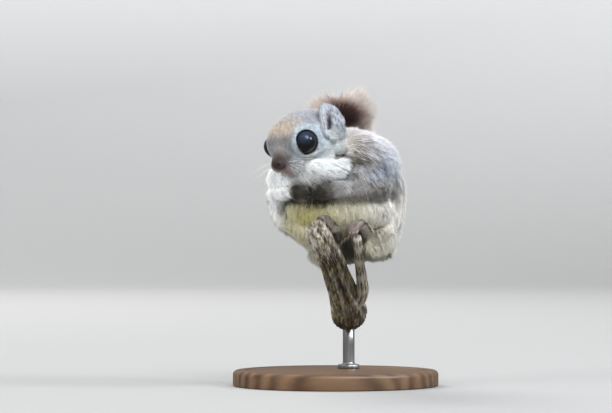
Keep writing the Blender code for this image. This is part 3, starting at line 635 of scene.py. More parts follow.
string("arm_right", 2.5, 2.0, [(-27, -25, 98.5), (-25, -32, 97.7), (-20, -36.5, 97.6)], [6.0, 4.8, 3.6])
mass("head", 3.0, 1.5, (-4.5, 0, 1.0), (18.5, 16.0, 14.5), True)
mass("head", 3.0, 0.9, (3.0, 0, 3.5), (15.3, 13.0, 12.4), True)
mass("head", 3.5, 0.6, (13.0, 0, -4.0), (9.0, 7.4, 6.8), True)
mass("head", 2.0, 0.6, (9.5, 0, -9.4), (8.5, 5.8, 4.0), True)
for side in SIDES.values():
    mass("head", 4.0, 1.9, (-5.0, side * 6.8, -4.2), (14.0, 11.0, 9.8), True)
    mass("head", 4.0, 2.2, (-11.5, side * 8.0, -4.6), (11.0, 9.6, 9.0), True)
    mass("head", 3.0, 0.7, (10.0, side * 6.3, 3.0), (5.6, 4.8, 5.2), True)
    mass("head", 1.8, 0.6, (14.0, side * 4.1, -6.2), (6.4, 4.6, 4.4), True)
    aim = mirrored(EYE_AIM, side)
    over = unit(np.cross(aim, np.cross((0.0, 0.0, 1.0), aim)))
    angle = np.linspace(0, 2 * math.pi, 36)
    socket_rim = mirrored(EYE_PLACE, side) + aim * 0.8 + 6.8 * spoke(angle, over, np.cross(aim, over))
    MASSES.append(("head", 2.2, 0.6, "balls", from_head(socket_rim), 1.9 + 0.3 * np.cos(angle), None))
mass("head", 1.2, 0.1, (NOSE[0] - 0.2, 0, NOSE[2]), (2.7, 3.6, 3.2), True)

# The gliding membrane, folded: a flat furred roll of skin from the elbow down the flank to the ankle.
MEMBRANE = {
    "left": ([(27, -20, 110), (29.8, -15, 101), (29.8, -13, 90), (27.5, -17, 80), (24, -24, 73.5), (18, -30, 71.5)],
             [2.8, 3.6, 3.8, 3.8, 3.4, 2.4]),
    "right": ([(-30.0, -21, 95), (-27.0, -19, 87), (-20.5, -20, 81), (-14.0, -25, 77), (-9.0, -29, 75)],
              [2.8, 3.4, 3.6, 3.4, 2.4]),
}
for word, (points, radii) in MEMBRANE.items():
    path, sizes = limb(points, radii, 18)
    along, across, through = path_frame(path, (1, 0, 0.4))
    for middle, size, a, b, c in zip(path, sizes, along, across, through):
        half = np.maximum(np.array([size * 2.0, size - 1.6, size * 2.3 - 1.8]), 1.0)
        MASSES.append((f"membrane_{word}", 2.0, 0.0, "ellipsoid", middle, half, np.stack([a, b, c])))

# The hind feet hook five toes over the ends of the prongs, the fore paws curl four fingers under
# the chin. Each digit ends in a claw, which is a piece of its own. A foot is its instep's path, its
# knuckles, its toes' tips and the way they spread; a hand its wrist, its reach and its spread.
FEET = {
    "left": ([(16.5, -23, 75.0), (14.0, -31, 79.0), (11.6, -35.8, 81.3)],
             (10.8, -37.0, 81.6), (6.4, -41.0, 76.2), (2.8, -2.8, 1.6)),
    "right": ([(1.0, -23, 73.5), (2.0, -29.5, 77.0), (0.3, -33.5, 79.2)],
              (-0.9, -34.8, 79.4), (-5.2, -39.8, 82.2), (2.4, 2.2, -3.0)),
}
HANDS = {
    "left": ((-4.6, -38.9, 98.8), (-5.4, 0.1, -0.9), (0.4, -0.9, 1.5)),
    "right": ((-20.0, -36.6, 97.5), (3.6, -2.2, -1.0), (1.2, 0.4, 1.6)),
}
digits = []
for word, (instep, knuckles, tips, spread) in FEET.items():
    string(f"foot_{word}", 1.5, 0.7, instep, [4.2, 3.4, 2.6], 12)
    for share in np.linspace(-1, 1, 5):
        start = np.array(knuckles) + np.array(spread) * share * 0.75
        end = np.array(tips) + np.array(spread) * share * 1.25 + (0, 0, -0.8 * share * share)
        middle = (start + end) / 2 + (0, 0, 1.4)
        string(f"foot_{word}", 0.5, 0.1, [start, middle, end], [1.35, 1.2, 1.1], 10)
        digits.append((middle, end, 1.2, 2.4))
for word, (wrist, reach, spread) in HANDS.items():
    wrist, reach, spread = (np.array(v) for v in (wrist, reach, spread))
    palm = wrist + reach * 0.55
    string(f"hand_{word}", 1.2, 0.5, [wrist, palm], [3.4, 3.0], 6)
    for share in np.linspace(-1, 1, 4):
        start = palm + spread * share * 1.1
        end = start + unit(reach) * 3.4 + (0, -0.4, -1.7) + spread * share * 0.2
        middle = (start + end) / 2 + (0, -0.8, 0.5)
        string(f"hand_{word}", 0.4, 0.05, [start, middle, end], [1.0, 0.95, 0.85], 8)
        digits.append((middle, end, 0.9, 1.9))

# The tail: a furred root, then bones in a thin flat core, all up behind the back.
TAIL = [
    (7.5, 18, 70), (8.5, 29, 69.5), (9.5, 36, 78), (9.5, 38, 94), (7.4, 36, 111), (4.8, 31, 126), (2.6, 25, 138.5)
]
TAIL_SIDE = (1.0, 0.12, 0.05)
TAIL_HALF_WIDTH, TAIL_ROWS = 17.5, 60
tail_path = smooth_path(TAIL, TAIL_ROWS)
tail_along, tail_across, tail_out = path_frame(tail_path, TAIL_SIDE)
tail_share = np.linspace(0, 1, TAIL_ROWS)
core_across = np.interp(tail_share, [0, 0.12, 0.24, 0.9, 1], [3.4, 3.6, 4.2, 4.6, 3.2])
core_through = np.interp(tail_share, [0, 0.12, 0.24, 0.9, 1], [3.4, 3.4, 2.6, 2.2, 1.8])
for i in range(0, TAIL_ROWS, 2):
    axes = np.stack([tail_along[i], tail_across[i], tail_out[i]])
    half = np.array([2.6, core_across[i], core_through[i]])
    MASSES.append(("tail", 1.5, 0.0, "ellipsoid", tail_path[i], half, axes))


# The ear: a thin cupped leaf, widest low down, open forwards and outwards. The left one stands up,
# the right one is laid back against the head.
EAR_LENGTH, EAR_WIDTH, EAR_WALL = 17.0, 12.5, 0.45
EAR_ROOT = (-8.6, 15.4, -3.0)
EAR_RISE = {1: (-0.08, -0.06, 1.0), -1: (-0.80, -0.35, 0.75)}
EAR_OPENS = (0.60, 0.79, 0.05)


def ear_leaf(side, rows=36, columns=30):
    """Points on the ear's mid surface: v runs up it, u across, and the sides curl forward by an
    angle that falls with v. With them come the way it opens and v."""
    v, u = np.meshgrid(np.linspace(0, 1, rows), np.linspace(-1, 1, columns), indexing="ij")
    leaf = np.sqrt(np.clip(1 - np.abs((v - 0.26) / 0.75) ** 1.6, 0.02, 1))
    width = EAR_WIDTH / 2 * leaf * np.interp(v, [0, 0.25], [0.72, 1])
    curl = 1.75 * (1 - 0.45 * v)
    ruffle = 0.35 * np.sin(9 * v + 2) * u**2 + 0.25 * np.sin(17 * v) * u**4
    sideways = width * np.sin(u * curl) / curl * 1.25 + ruffle
    cup = width * (1 - np.cos(u * curl)) * 0.9 - 1.5 * v**2 + ruffle
    root = mirrored(EAR_ROOT, side)
    rise = unit(np.array(EAR_RISE[side]))
    out = mirrored(EAR_OPENS, side)
    out = unit(out - rise * (out @ rise))
    flat = np.cross(rise, out)
    local = root + EAR_LENGTH * v[..., None] * rise + sideways[..., None] * flat + cup[..., None] * out
    return from_head(local.reshape(-1, 3)), HEAD_AXES.T @ out, v.ravel()


EARS = {word: ear_leaf(side) for word, side in SIDES.items()}


# The skin: one soft sheet over the whole animal, bare only at the nose, lids, lips and digits. It
# is a net laid where a field over a grid is zero: the masses' distances blended into one, with the
# sockets, lids, folds, mouth and nostrils worked in. The grid's lines lie closer over the head.
def lines(start, stop, fine_from, fine_to, fine=0.46, coarse=0.92):
    """Grid line places from start to stop, close between two places, the spacing changing smoothly."""
    places = [start]
    while places[-1] < stop:
        away = max(fine_from - places[-1], places[-1] - fine_to, 0.0)
        places.append(places[-1] + fine + (coarse - fine) * min(away / 12.0, 1.0))
    return np.array(places, np.float32)


GRID = [lines(-44, 40, -42, -1), lines(-54, 47, -50, -16), lines(58, 150, 106, 139)]
field = np.full([len(line) for line in GRID], 6.0, np.float32)


def smooth_step(low, high, x):
    """0 at low and 1 at high, level at both."""
    t = np.clip((x - low) / (high - low), 0, 1)
    return t * t * (3 - 2 * t)


def soft_least(a, b, reach):
    """The smaller of two distances, rounded off where they differ by less than reach."""
    h = np.maximum(reach - np.abs(a - b), 0) / reach
    return np.minimum(a, b) - h * h * reach / 4


def off_ellipsoid(p, middle, half, axes=None):
    """Distance outside an ellipsoid, nearly: k (k - 1) / g, k being the place in half sizes and
    g its slope."""
    q = p - np.asarray(middle, float)
    q = q if axes is None else q @ axes.T
    q = q / np.asarray(half, float)
    k = np.sqrt((q * q).sum(-1))
    g = np.sqrt(((q / half) ** 2).sum(-1))
    return k * (k - 1) / np.maximum(g, 1e-6)


def off_balls(p, path, radii):
    """Distance outside a string of balls."""
    best = np.full(p.shape[:-1], 99.0)
    for middle, radius in zip(path, radii):
        q = p - middle
        best = np.minimum(best, np.sqrt((q * q).sum(-1)) - radius)
    return best


def mass_distance(p, row, coat=None):
    """How far points are outside one of the masses, less its coat's depth or the given one."""
    _, _, depth, kind, place, size, axes = row
    depth = depth if coat is None else coat
    if kind == "ellipsoid":
        return off_ellipsoid(p, place, size - depth, axes)
    return off_balls(p, place, size - depth)


def mass_box(row, margin):
    """The corners of the box round one of the masses."""
    _, _, _, kind, place, size, axes = row
    if kind == "ellipsoid":
        reach = size if axes is None else np.sqrt(((axes * size[:, None]) ** 2).sum(0))
        return place - reach - margin, place + reach + margin
    return place.min(0) - size.max() - margin, place.max(0) + size.max() + margin


def worked(low, high, change):
    """The field within a box is changed to change(its points, what is there)."""
    window = tuple(
        slice(max(np.searchsorted(line, a) - 1, 0), np.searchsorted(line, b) + 1)
        for line, a, b in zip(GRID, low, high)
    )
    places = np.meshgrid(*(line[part] for line, part in zip(GRID, window)), indexing="ij")
    field[window] = change(np.stack(places, -1), field[window])


def added(low, high, blend, away):
    """Flesh added within a box wherever the distance away(points) is below 0."""
    worked(low, high, lambda p, there: soft_least(there, away(p), blend))


def carved(low, high, blend, away):
    """Flesh cut away within a box wherever the distance away(points) is below 0."""
    worked(low, high, lambda p, there: -soft_least(-there, away(p), blend))


for row in MASSES:
    added(*mass_box(row, row[1] + 1.5), row[1], lambda p: mass_distance(p, row))
for leaf, _, _ in EARS.values():
    added(leaf.min(0) - 3, leaf.max(0) + 3, 1.2, lambda p: off_balls(p, leaf, np.full(len(leaf), EAR_WALL)))

# Lids: a dark rounded rim that lies on the ball, ahead of its middle, in an opening that widens
# outwards.
LID_AHEAD, LID_RADIUS, LID_THICK, BALL_GAP = 2.75, 5.45, 0.55, 0.10


def about_aim(p, middle, aim):
    """How far points are ahead of a middle, and aside from the line through it."""
    q = p - middle
    high = q @ aim
    return high, np.sqrt(np.maximum((q * q).sum(-1) - high * high, 0))


def off_ring(p, middle, aim, radius, thick):
    """Distance outside a ring of round section."""
    high, wide = about_aim(p, middle, aim)
    wide = wide - radius
    return np.sqrt(wide * wide + high * high) - thick


def off_cone(p, middle, aim):
    """Negative inside the opening of the lids: a cone about aim, from 0.8 mm ahead of the ball's
    middle outwards."""
    high, wide = about_aim(p, middle, aim)
    return np.maximum(wide - (LID_RADIUS - 0.1 + 0.75 * (high - LID_AHEAD)), 0.8 - high)


EYES = {}
for word, side in SIDES.items():
    middle, aim = from_head(mirrored(EYE_PLACE, side)), mirrored(EYE_AIM, side) @ HEAD_AXES
    EYES[word] = (middle, aim)
    low, high, rim = middle - 12, middle + 12, middle + aim * LID_AHEAD
    carved(low, high, 0.8, lambda p: off_cone(p, middle, aim))
    added(low, high, 0.9, lambda p: off_ring(p, rim, aim, LID_RADIUS, LID_THICK))
    ball = lambda p: np.sqrt(((p - middle) ** 2).sum(-1)) - EYE_RADIUS
    worked(low, high, lambda p, there: np.maximum(there, -(ball(p) - BALL_GAP)))

# Folds: along the membrane's margins, round the puff of the ruff and down the back of the cheek.
# Each has its line of (x, z) places, its width and its depth.
FOLDS = {
    "membrane_left": ([(16.5, 72.0), (23.0, 76.0), (30.0, 81.5)], 1.1, 1.0),
    "membrane_right": ([(-21.0, 73.5), (-17.0, 71.5), (-12.0, 69.5)], 1.1, 1.0),
    "ruff": ([(-1.0, 116.6), (3.0, 116.0), (6.6, 113.4), (8.2, 109.2), (7.0, 104.4)], 1.2, 1.2),
    "cheek": ([(4.6, 126.0), (4.4, 120.0), (2.2, 116.3)], 1.2, 1.0),
}


def off_fold(p, path):
    """Distance in the picture's plane, XZ, from a line of (x, z) places."""
    path = smooth_path([(x, 0, z) for x, z in path], 24)
    return off_balls(p * (1, 0, 1), path, np.zeros(24))


def fold_depth(p, path, wide):
    """1 on a fold's line, falling off as a bell over its width, on the front of the animal."""
    return np.exp(-(off_fold(p, path) / wide) ** 2) * smooth_step(-6, -12, p[..., 1])


for path, wide, deep in FOLDS.values():
    path3 = np.array([(x, 0, z) for x, z in path])
    low, high = path3.min(0) - (4, 54, 4), path3.max(0) + (4, -8, 4)
    worked(low, high, lambda p, there: there + deep * fold_depth(p, path, wide))

# The cleft between the thighs, the line of the mouth and the nostrils.
CLEFT_AT, CLEFT_HALF = (4.6, -31, 66.5), (3.2, 16, 11.5)
carved((-2, -50, 52), (12, -10, 82), 3.0, lambda p: off_ellipsoid(p, CLEFT_AT, CLEFT_HALF))
mouth = [(20.4, 0.0, -7.0), (18.6, 2.2, -8.8), (15.2, 4.6, -9.6), (11.0, 6.4, -8.9)]
mouth = from_head(smooth_path([mirrored(m, -1) for m in mouth[:0:-1]] + mouth, 40))
carved(mouth.min(0) - 3, mouth.max(0) + 3, 0.8, lambda p: off_balls(p, mouth, np.full(40, 0.42)))
for side in (1, -1):
    inner, outer = (NOSE[0] - 0.2, 1.0, NOSE[2] + 0.3), (NOSE[0] + 2.2, 2.0, NOSE[2] - 0.4)
    hole = from_head(smooth_path([mirrored(inner, side), mirrored(outer, side)], 8))
    carved(hole.min(0) - 3, hole.max(0) + 3, 0.5, lambda p: off_balls(p, hole, np.full(8, 0.5)))


def netted(field, grid):
    """Surface net: a point in each cell that the surface crosses, at the mean of its edges'
    crossings, and a quad round each crossed edge."""
    inside = field < 0
    cells = np.array(field.shape) - 1
    total, count = np.zeros((3, cells.prod())), np.zeros(cells.prod())
    crossings = []
    for axis in range(3):
        low = [slice(None)] * 3
        high = [slice(None)] * 3
        low[axis], high[axis] = slice(0, -1), slice(1, None)
        at = np.argwhere(inside[tuple(low)] != inside[tuple(high)])
        far = at.copy()
        far[:, axis] += 1
        a, b = field[tuple(at.T)], field[tuple(far.T)]
        share = a / (a - b)
        place = np.stack([grid[k][at[:, k]] for k in range(3)], 1).astype(float)
        place[:, axis] += share * (grid[axis][far[:, axis]] - grid[axis][at[:, axis]])
        u, v = (axis + 1) % 3, (axis + 2) % 3
        around = []
        for du, dv in ((0, 0), (-1, 0), (-1, -1), (0, -1)):
            cell = at.copy()
            cell[:, u] += du
            cell[:, v] += dv
            index = (cell[:, 0] * cells[1] + cell[:, 1]) * cells[2] + cell[:, 2]
            around.append(index)
            count += np.bincount(index, minlength=len(count))
            for k in range(3):
                total[k] += np.bincount(index, place[:, k], minlength=len(count))
        quads = np.stack(around, 1)
        outward = inside[tuple(at.T)]
        crossings.append(np.where(outward[:, None], quads, quads[:, ::-1]))
    used = np.flatnonzero(count)
    number = np.full(len(count), -1)
    number[used] = np.arange(len(used))
    return (total[:, used] / count[used]).T, number[np.vstack(crossings)]


def relaxed(points, quads, passes, weight):
    """Points moved part of the way to the mean of their neighbours, several times."""
    a, b = np.vstack([quads[:, [k, (k + 1) % 4]] for k in range(4)]).T
    ends = np.bincount(a, minlength=len(points))[:, None]
    for _ in range(passes):
        mean = np.stack([np.bincount(a, points[b, k], len(points)) for k in range(3)], 1) / ends
        points = points + (mean - points) * weight[:, None]
    return points


# The face is smoothed less than the rest, so that it keeps its lids and lips.
skin_points, skin_quads = netted(field, GRID)
off_face = np.linalg.norm(to_head(skin_points) - (4, 0, 0), axis=1)
skin_points = relaxed(skin_points, skin_quads, 6, 0.12 + 0.45 * np.clip((off_face - 24) / 8, 0, 1))


# The animal's markings, one function for skin and coat: colours blend between soft-edged places
# on the head, back, belly, arms, membrane and tail. Painted shade darkens the folds, hollows and
# creases and the fur under the arms, chin and belly, and the pale shoulder is partly a painted highlight.
def bell(points, middle, size, axes=None, edge=0.35):
    """1 inside an ellipsoid and 0 outside it, with a soft edge that is a share of its size."""
    q = points - np.asarray(middle, float)
    q = q if axes is None else q @ axes.T
    k = np.sqrt(((q / size) ** 2).sum(1))
    return np.clip((1 + edge - k) / (2 * edge), 0, 1)


def laid_over(under, colour, mask):
    """One colour, or one for each point, laid over another by a mask."""
    return under + (np.asarray(colour) - under) * np.asarray(mask, float)[:, None]


def painted_over(under, *coats):
    """Several (colour, mask) laid over a colour one after the other."""
    for colour, mask in coats:
        under = laid_over(under, colour, mask)
    return under


ARM_PATHS = {
    "arm_left": smooth_path([(8, -4, 122), (17, -14, 112), (22, -24, 102), (9, -36, 99), (-6, -41, 98)], 40),
    "arm_right": smooth_path(
        [(-16, -4, 118), (-23, -14, 108), (-28, -24, 99), (-25, -34, 97.5), (-20, -40, 96.5)], 40),
}
# The parts of the coat, and the width in millimetres over which each gives way to its neighbours.
PARTS = sorted({row[0] for row in MASSES} | {"ear_left", "ear_right"})
SOFTNESS = {"head": 0.5, "foot_left": 0.5, "foot_right": 0.5, "hand_left": 0.4, "hand_right": 0.4}


def shares_of(points):
    """How far each point belongs to each part: 1 where a part's outside is the nearest by far,
    falling off with the lead that the nearest has."""
    away = np.full((len(PARTS), len(points)), 99.0)
    for row in MASSES:
        i = PARTS.index(row[0])
        lead = 0.6 if row[0].startswith(("head", "hand", "foot")) else 0.0
        away[i] = np.minimum(away[i], mass_distance(points, row, 0.0) - lead)
    for word, (leaf, _, rise) in EARS.items():
        near = np.flatnonzero(((points > leaf.min(0) - 1) & (points < leaf.max(0) + 1)).all(1))
        gap = off_balls(points[near], leaf[rise > 0.12], np.full((rise > 0.12).sum(), EAR_WALL))
        away[PARTS.index(f"ear_{word}"), near[gap < 0.5]] = -30.0
    soft = np.array([SOFTNESS.get(name, 1.6) for name in PARTS])[:, None]
    shares = np.exp(-(away - away.min(0)) / soft)
    return (shares / shares.sum(0)).T


def near_line(points, path, wide):
    """1 on a line of (x, z) places on the front of the animal, falling to 0 at about twice wide."""
    return np.exp(-(off_fold(points, path) / wide) ** 2) * smooth_step(8, -4, points[:, 1])


# Dark guard hairs stream down over the shoulder from the crease behind the cheek.
SHOULDER_STREAM = np.array([0.74, -0.20, -0.64])


def markings_and_painted_shade(points, shares):
    """The coat's colour at each point on the skin, painted shade and highlight included."""
    named = {name: shares[:, i] for i, name in enumerate(PARTS)}
    x, y, z = points.T
    step = smooth_step
    mottle = 1 + 0.06 * waves(points, (7.0, 18.0), 21)[:, None]
    spot = lambda middle, size, edge: bell(points, middle, size, edge=edge)
    wash = lambda colour: np.tile(np.array(colour), (len(points), 1)) * mottle

    # The back is grey: pale and bluish on the shoulder, partly its pale fur and partly a painted highlight
    # of the light from above, blue above the elbow, warmer behind the neck, browner to the rear, and
    # streaked by the guard hairs.
    squeezed = points - 0.86 * (points @ SHOULDER_STREAM)[:, None] * SHOULDER_STREAM
    streak = step(0.2, 1.2, waves(squeezed, (1.3, 3.2), 27)) * spot((8, -24, 111), (14, 18, 13), 0.6)
    back = painted_over(
        wash((0.42, 0.42, 0.43)),
        ((0.33, 0.31, 0.30), 0.5 * step(-0.2, 1.2, waves(points, (9.0, 20.0), 22))),
        ((0.70, 0.70, 0.77), 0.85 * spot((15, -12, 119), (11, 20, 12), 0.7)),
        ((0.28, 0.38, 0.54), 0.85 * spot((22.0, -20, 110.5), (5.5, 12, 6.0), 0.7)),
        ((0.45, 0.40, 0.33), 0.75 * spot((5, -18, 121), (8, 12, 9), 0.6)),
        ((0.29, 0.24, 0.19), 0.8 * step(-2, 16, y)),
        ((0.06, 0.05, 0.04), 0.45 * streak),
    )

    # The underside is cream: an olive stain below the paws, pink-white along its outer band, white at its
    # right edge, and a darker olive buff low down, partly the fur's buff and partly painted shade under the
    # belly's overhanging edge. The thighs are its greyest part, with painted shade in the folds.
    cream = painted_over(
        wash((0.52, 0.50, 0.38)),
        ((0.38, 0.335, 0.085), 0.85 * spot((-14.5, -38, 88.5), (11.5, 14, 8.5), 0.7)),
        ((0.60, 0.58, 0.54), 0.8 * step(8, 24, x)),
        ((0.80, 0.81, 0.80), 0.85 * step(-22, -30, x)),
        ((0.40, 0.37, 0.25), 0.7 * step(84, 80, z - 0.15 * np.abs(x + 4))),
    )
    front = step(4, -10, y) * step(104, 97, z + 0.12 * x)
    colour = laid_over(back, cream, np.maximum(front, 0.85 * step(80, 70, z) * step(22, 0, y)))
    for name in ("belly", "membrane_left", "membrane_right"):
        colour = laid_over(colour, cream, named[name])
    band = step(22.5, 26.5, x) * step(115, 109, z) * step(14, 3, y) * (1 - named["arm_left"])
    colour = laid_over(colour, (0.76, 0.73, 0.69), 0.9 * band)
    lobe = painted_over(
        cream,
        ((0.34, 0.34, 0.29), np.full(len(points), 0.6)),
        ((0.52, 0.51, 0.44), 0.5 * step(74, 66, z)),
    )
    for name in ("thigh_left", "thigh_right"):
        colour = laid_over(colour, lobe, named[name])
    # Painted shade along the membrane's folds, where the edge of the membrane overhangs the thigh.
    for name in ("membrane_left", "membrane_right"):
        colour = laid_over(colour, (0.13, 0.12, 0.11), 0.75 * near_line(points, FOLDS[name][0], 1.3))
    # A painted shadow in the cleft between the thighs.
    colour = laid_over(colour, (0.045, 0.040, 0.036), spot((4.6, -32, 66.5), (4.2, 18, 12.5), 0.25))

    # The throat and the ruff are white, and grey like the back where they meet it.
    ruff = painted_over(
        wash((0.66, 0.66, 0.65)),
        ((0.80, 0.84, 0.84), spot((-2, -33, 109), (14, 14, 10), 0.35)),
        ((0.90, 0.92, 0.93), step(-18, -26, x)),
        (back, step(113, 122, z + 0.2 * y) * step(-30, -16, y)),
    )
    colour = laid_over(colour, ruff, named["neck"])

    # The arms darken from the grey of the back to brown-black along their lower margin and under the
    # chin: painted shade below each arm and in the shadow under the chin. The right one's edge is white.
    for name, path in ARM_PATHS.items():
        line = path[path[:, 1] < -20]
        line = line[np.argsort(line[:, 0])]
        beneath = z - np.interp(x, line[:, 0], line[:, 2])
        painted_shade_below_arm = step(1.0, -3.0, beneath) * step(106, 101, z)
        painted_shade_under_chin = step(9, 0, x) * step(-36, -24, x) * step(106, 101, z)
        fur = laid_over(back, (0.14, 0.125, 0.105), np.maximum(0.85 * painted_shade_below_arm, 0.9 * painted_shade_under_chin))
        fur = laid_over(fur, (0.94, 0.95, 0.95), step(-23.5, -26.5, x))
        colour = laid_over(colour, fur, named[name])
    # The hands are painted near-black: painted shade, for they lie in shadow under the chin.
    for name in ("hand_left", "hand_right"):
        colour = laid_over(colour, (0.045, 0.034, 0.028), named[name])
    # The right foot's toes are far less pink than the left's: painted shade under the belly's overhang.
    for name, pink in (("foot_left", 0.9), ("foot_right", 0.25)):
        foot = laid_over(wash((0.22, 0.19, 0.16)), (0.36, 0.27, 0.245), step(-33.5, -37.0, y) * pink)
        colour = laid_over(colour, foot, named[name])

    # Painted shade in dark places: the shadow in the hollow under the chin, the crease round the ruff, and
    # the one over the elbow.
    painted_hollow_shadow = step(-25.0, -21.5, x) * step(5, -6, x) * step(93, 95.5, z) * step(106.5, 103.5, z) * step(-20, -28, y)
    painted_crease_shade = spot((9.8, -28, 113.2), (5.0, 16, 3.4), 0.55) * (1 - named["neck"])
    colour = painted_over(
        colour,
        ((0.022, 0.017, 0.012), 0.95 * painted_hollow_shadow * (1 - named["head"])),
        ((0.06, 0.048, 0.038), 0.85 * near_line(points, FOLDS["ruff"][0], 1.6)),
        ((0.035, 0.025, 0.018), 0.95 * painted_crease_shade * (1 - named["head"])),
        ((0.36, 0.295, 0.24), named["tail"]),
    )

    # The face: a dark grey crown, ochre ahead of it and browner behind, a blue-grey ring round the
    # eye, pale cheeks, a grey muzzle that darkens to the nose, pinkish brown lips and dark lids.
    head = to_head(points)
    h = np.column_stack([head[:, 0], np.abs(head[:, 1]), head[:, 2]])
    forward, aside, high = h.T
    on_face = lambda middle, size, edge: bell(h, middle, size, edge=edge)
    crown = step(4.0, 8.0, high + 0.10 * forward - 0.22 * (aside - 6)) * step(-19, -12, forward + 0.5 * high)
    muzzle = step(9.5, 15.0, forward) * step(-9.0, -5.0, high) * step(9.5, 5.5, high)
    away = np.linalg.norm(h - EYE_PLACE, axis=1)
    ring = step(9.0, 7.9, away) * step(-6.0, -1.5, high + 0.2 * (6 - forward))
    face = painted_over(
        wash((0.43, 0.48, 0.515)),
        ((0.55, 0.585, 0.59), step(4, -6, forward) * step(7, 0, high)),
        ((0.72, 0.67, 0.60), 0.8 * step(-9, -15, forward) * step(2, -4, high)),
        ((0.72, 0.74, 0.72), step(-5.5, -9.5, high) * step(12, 6, forward)),
        ((0.245, 0.255, 0.29), crown),
        ((0.30, 0.26, 0.22), 0.75 * step(-6, -14, forward) * step(0, 6, high - 0.4 * (aside - 6))),
        ((0.43, 0.34, 0.24), 0.8 * on_face((12.5, 2.5, 9.0), (7.5, 6.0, 5.5), 0.85)),
        ((0.15, 0.155, 0.165), 0.85 * muzzle),
        ((0.30, 0.28, 0.26), 0.6 * on_face((17, 0, 1.5), (6, 4, 4), 0.6)),
        ((0.062, 0.036, 0.028), on_face((19.6, 0.5, -3.6), (4.6, 4.6, 4.4), 0.45)),
        ((0.355, 0.415, 0.465), 0.9 * ring),
        ((0.30, 0.32, 0.34), 0.5 * on_face((12.5, 8.0, -3.5), (3.5, 3.0, 2.2), 0.6)),
        ((0.05, 0.045, 0.042), 0.7 * on_face((17.0, 4.6, -2.6), (2.6, 1.6, 1.0), 0.7)),
        ((0.36, 0.20, 0.15), 0.85 * on_face((17.5, 2.6, -8.6), (3.6, 3.2, 2.6), 0.5)),
        ((0.030, 0.017, 0.014), on_face((NOSE[0] + 0.4, 0, NOSE[2]), (3.1, 3.8, 3.3), 0.35)),
        ((0.014, 0.011, 0.010), step(7.0, 6.7, away)),
    )
    colour = laid_over(colour, face, named["head"])

    # The ears: blue-grey fluff with dark patches, paler round the opening, and inside it, low down, a slot
    # of dark bare skin, partly its own colour and partly painted shade in the cup of the ear.
    for word, (leaf, out, rise) in EARS.items():
        base, tip = leaf[rise < 0.02].mean(0), leaf[rise > 0.98].mean(0)
        middle = base + 0.46 * (tip - base) + 1.4 * out + (-0.9, 0, 0)
        # Painted shade darkens this slot inside the cup; the laid-back right ear has half of it.
        slot = spot(middle, (1.5, 3.2, 5.2), 0.45) * (1.0 if word == "left" else 0.5)
        ear = painted_over(
            wash((0.47, 0.51, 0.58)),
            ((0.11, 0.095, 0.115), 0.6 * step(0.3, 1.0, waves(points, (1.6, 3.4), 33))),
            ((0.50, 0.515, 0.55), 0.9 * spot(middle + (-3.6, 0, 0.5), (1.6, 4.0, 5.5), 0.5)),
            ((0.52, 0.57, 0.62), 0.9 * spot(middle + (2.5, 0, -6.0), (6.0, 5.0, 3.4), 0.6)),
            ((0.040, 0.025, 0.035), slot),
        )
        colour = laid_over(colour, ear, named[f"ear_{word}"])
    return np.clip(colour, 0.005, 0.95)


def vertex_colours(mesh, name, colours):
    """A colour for each point of a mesh."""
    layer = mesh.color_attributes.new(name=name, type="FLOAT_COLOR", domain="POINT")
    rows = np.column_stack([colours, np.ones(len(colours))])
    layer.data.foreach_set("color", rows.astype(np.float32).ravel())


skin_shares = shares_of(skin_points)
skin_part = skin_shares.argmax(1)
bare = np.isin(skin_part, [i for i, name in enumerate(PARTS) if name.startswith(("hand", "foot"))])

skin_material, tree, shader = plain_material("skin", (0.4, 0.35, 0.3), 0.75, Specular_IOR_Level=0.35)
fine = noise(tree, 1400.0, detail=4.0)
specked = mixed(tree, painted(tree, "markings_and_painted_shade"), ramp(tree, fine, [(0.35, 0.72), (0.65, 1.08)]), 1.0)
wire(shader, Base_Color=specked, Roughness=painted(tree, "roughness", "Fac"))
bumped(shader, fine, 0.0002)

skin = piece("skin", skin_points, skin_quads, skin_material)
vertex_colours(skin.data, "markings_and_painted_shade", markings_and_painted_shade(skin_points, skin_shares))
eye_gap = [np.linalg.norm(skin_points - middle, axis=1) for middle, _ in EYES.values()]
wet_nose = bell(to_head(skin_points), (NOSE[0] + 0.6, 0, NOSE[2]), (3.2, 3.4, 2.8), edge=0.2)
wet = np.maximum(wet_nose, smooth_step(6.9, 6.6, np.min(eye_gap, 0)))
point_values(skin.data, "roughness", 0.82 - 0.42 * wet - 0.2 * bare)
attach(skin, "root")
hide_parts("head", "ear_left", "ear_right", "neck", "torso", "belly", "upper_arm_left", "upper_arm_right",
            "forearm_left", "forearm_right", "hand_left", "hand_right", "patagium_left", "patagium_right",
            "thigh_left", "thigh_right", "foot_left", "foot_right", "tail_root", "tail_brush")

# Where fibres of the coat take their baked colour from: an unwrap of the skin.
bpy.context.view_layer.objects.active = skin
skin.select_set(True)
skin.data.uv_layers.new(name="OFBake")
bpy.ops.object.mode_set(mode="EDIT")
bpy.ops.mesh.select_all(action="SELECT")
bpy.ops.uv.smart_project(angle_limit=math.radians(66), island_margin=0.001)
bpy.ops.object.mode_set(mode="OBJECT")
skin.select_set(False)

# The eyes: near-black and wet, each a ball with the clear front a little more curved, set deep in
# the lids. A dark brown iris just shows round the pupil, and a dim blue glow high on the front is a
# painted reflection of the sky.
EYE_BULGE, BULGE_ANGLE = 0.35, math.radians(50)


def eyeball(middle, aim, rows=60, columns=80):
    """A ball with its poles at its sides, under the lids. Its front bulges by a cosine bell."""
    side = unit(np.cross(aim, (0.0, 0.0, 1.0)))
    over = np.cross(side, aim)
    way = spoke(np.linspace(0, math.pi, rows)[1:-1, None], side, spoke(circle(columns), aim, over))
    away = np.arccos(np.clip(way @ aim, -1, 1)) / BULGE_ANGLE
    radius = EYE_RADIUS + EYE_BULGE * np.cos(np.clip(away, 0, 1) * math.pi / 2) ** 2
    points = (middle + radius[..., None] * way).reshape(-1, 3)
    points = np.vstack([points, middle + EYE_RADIUS * side, middle - EYE_RADIUS * side])
    return points, tube_faces(rows - 2, columns)


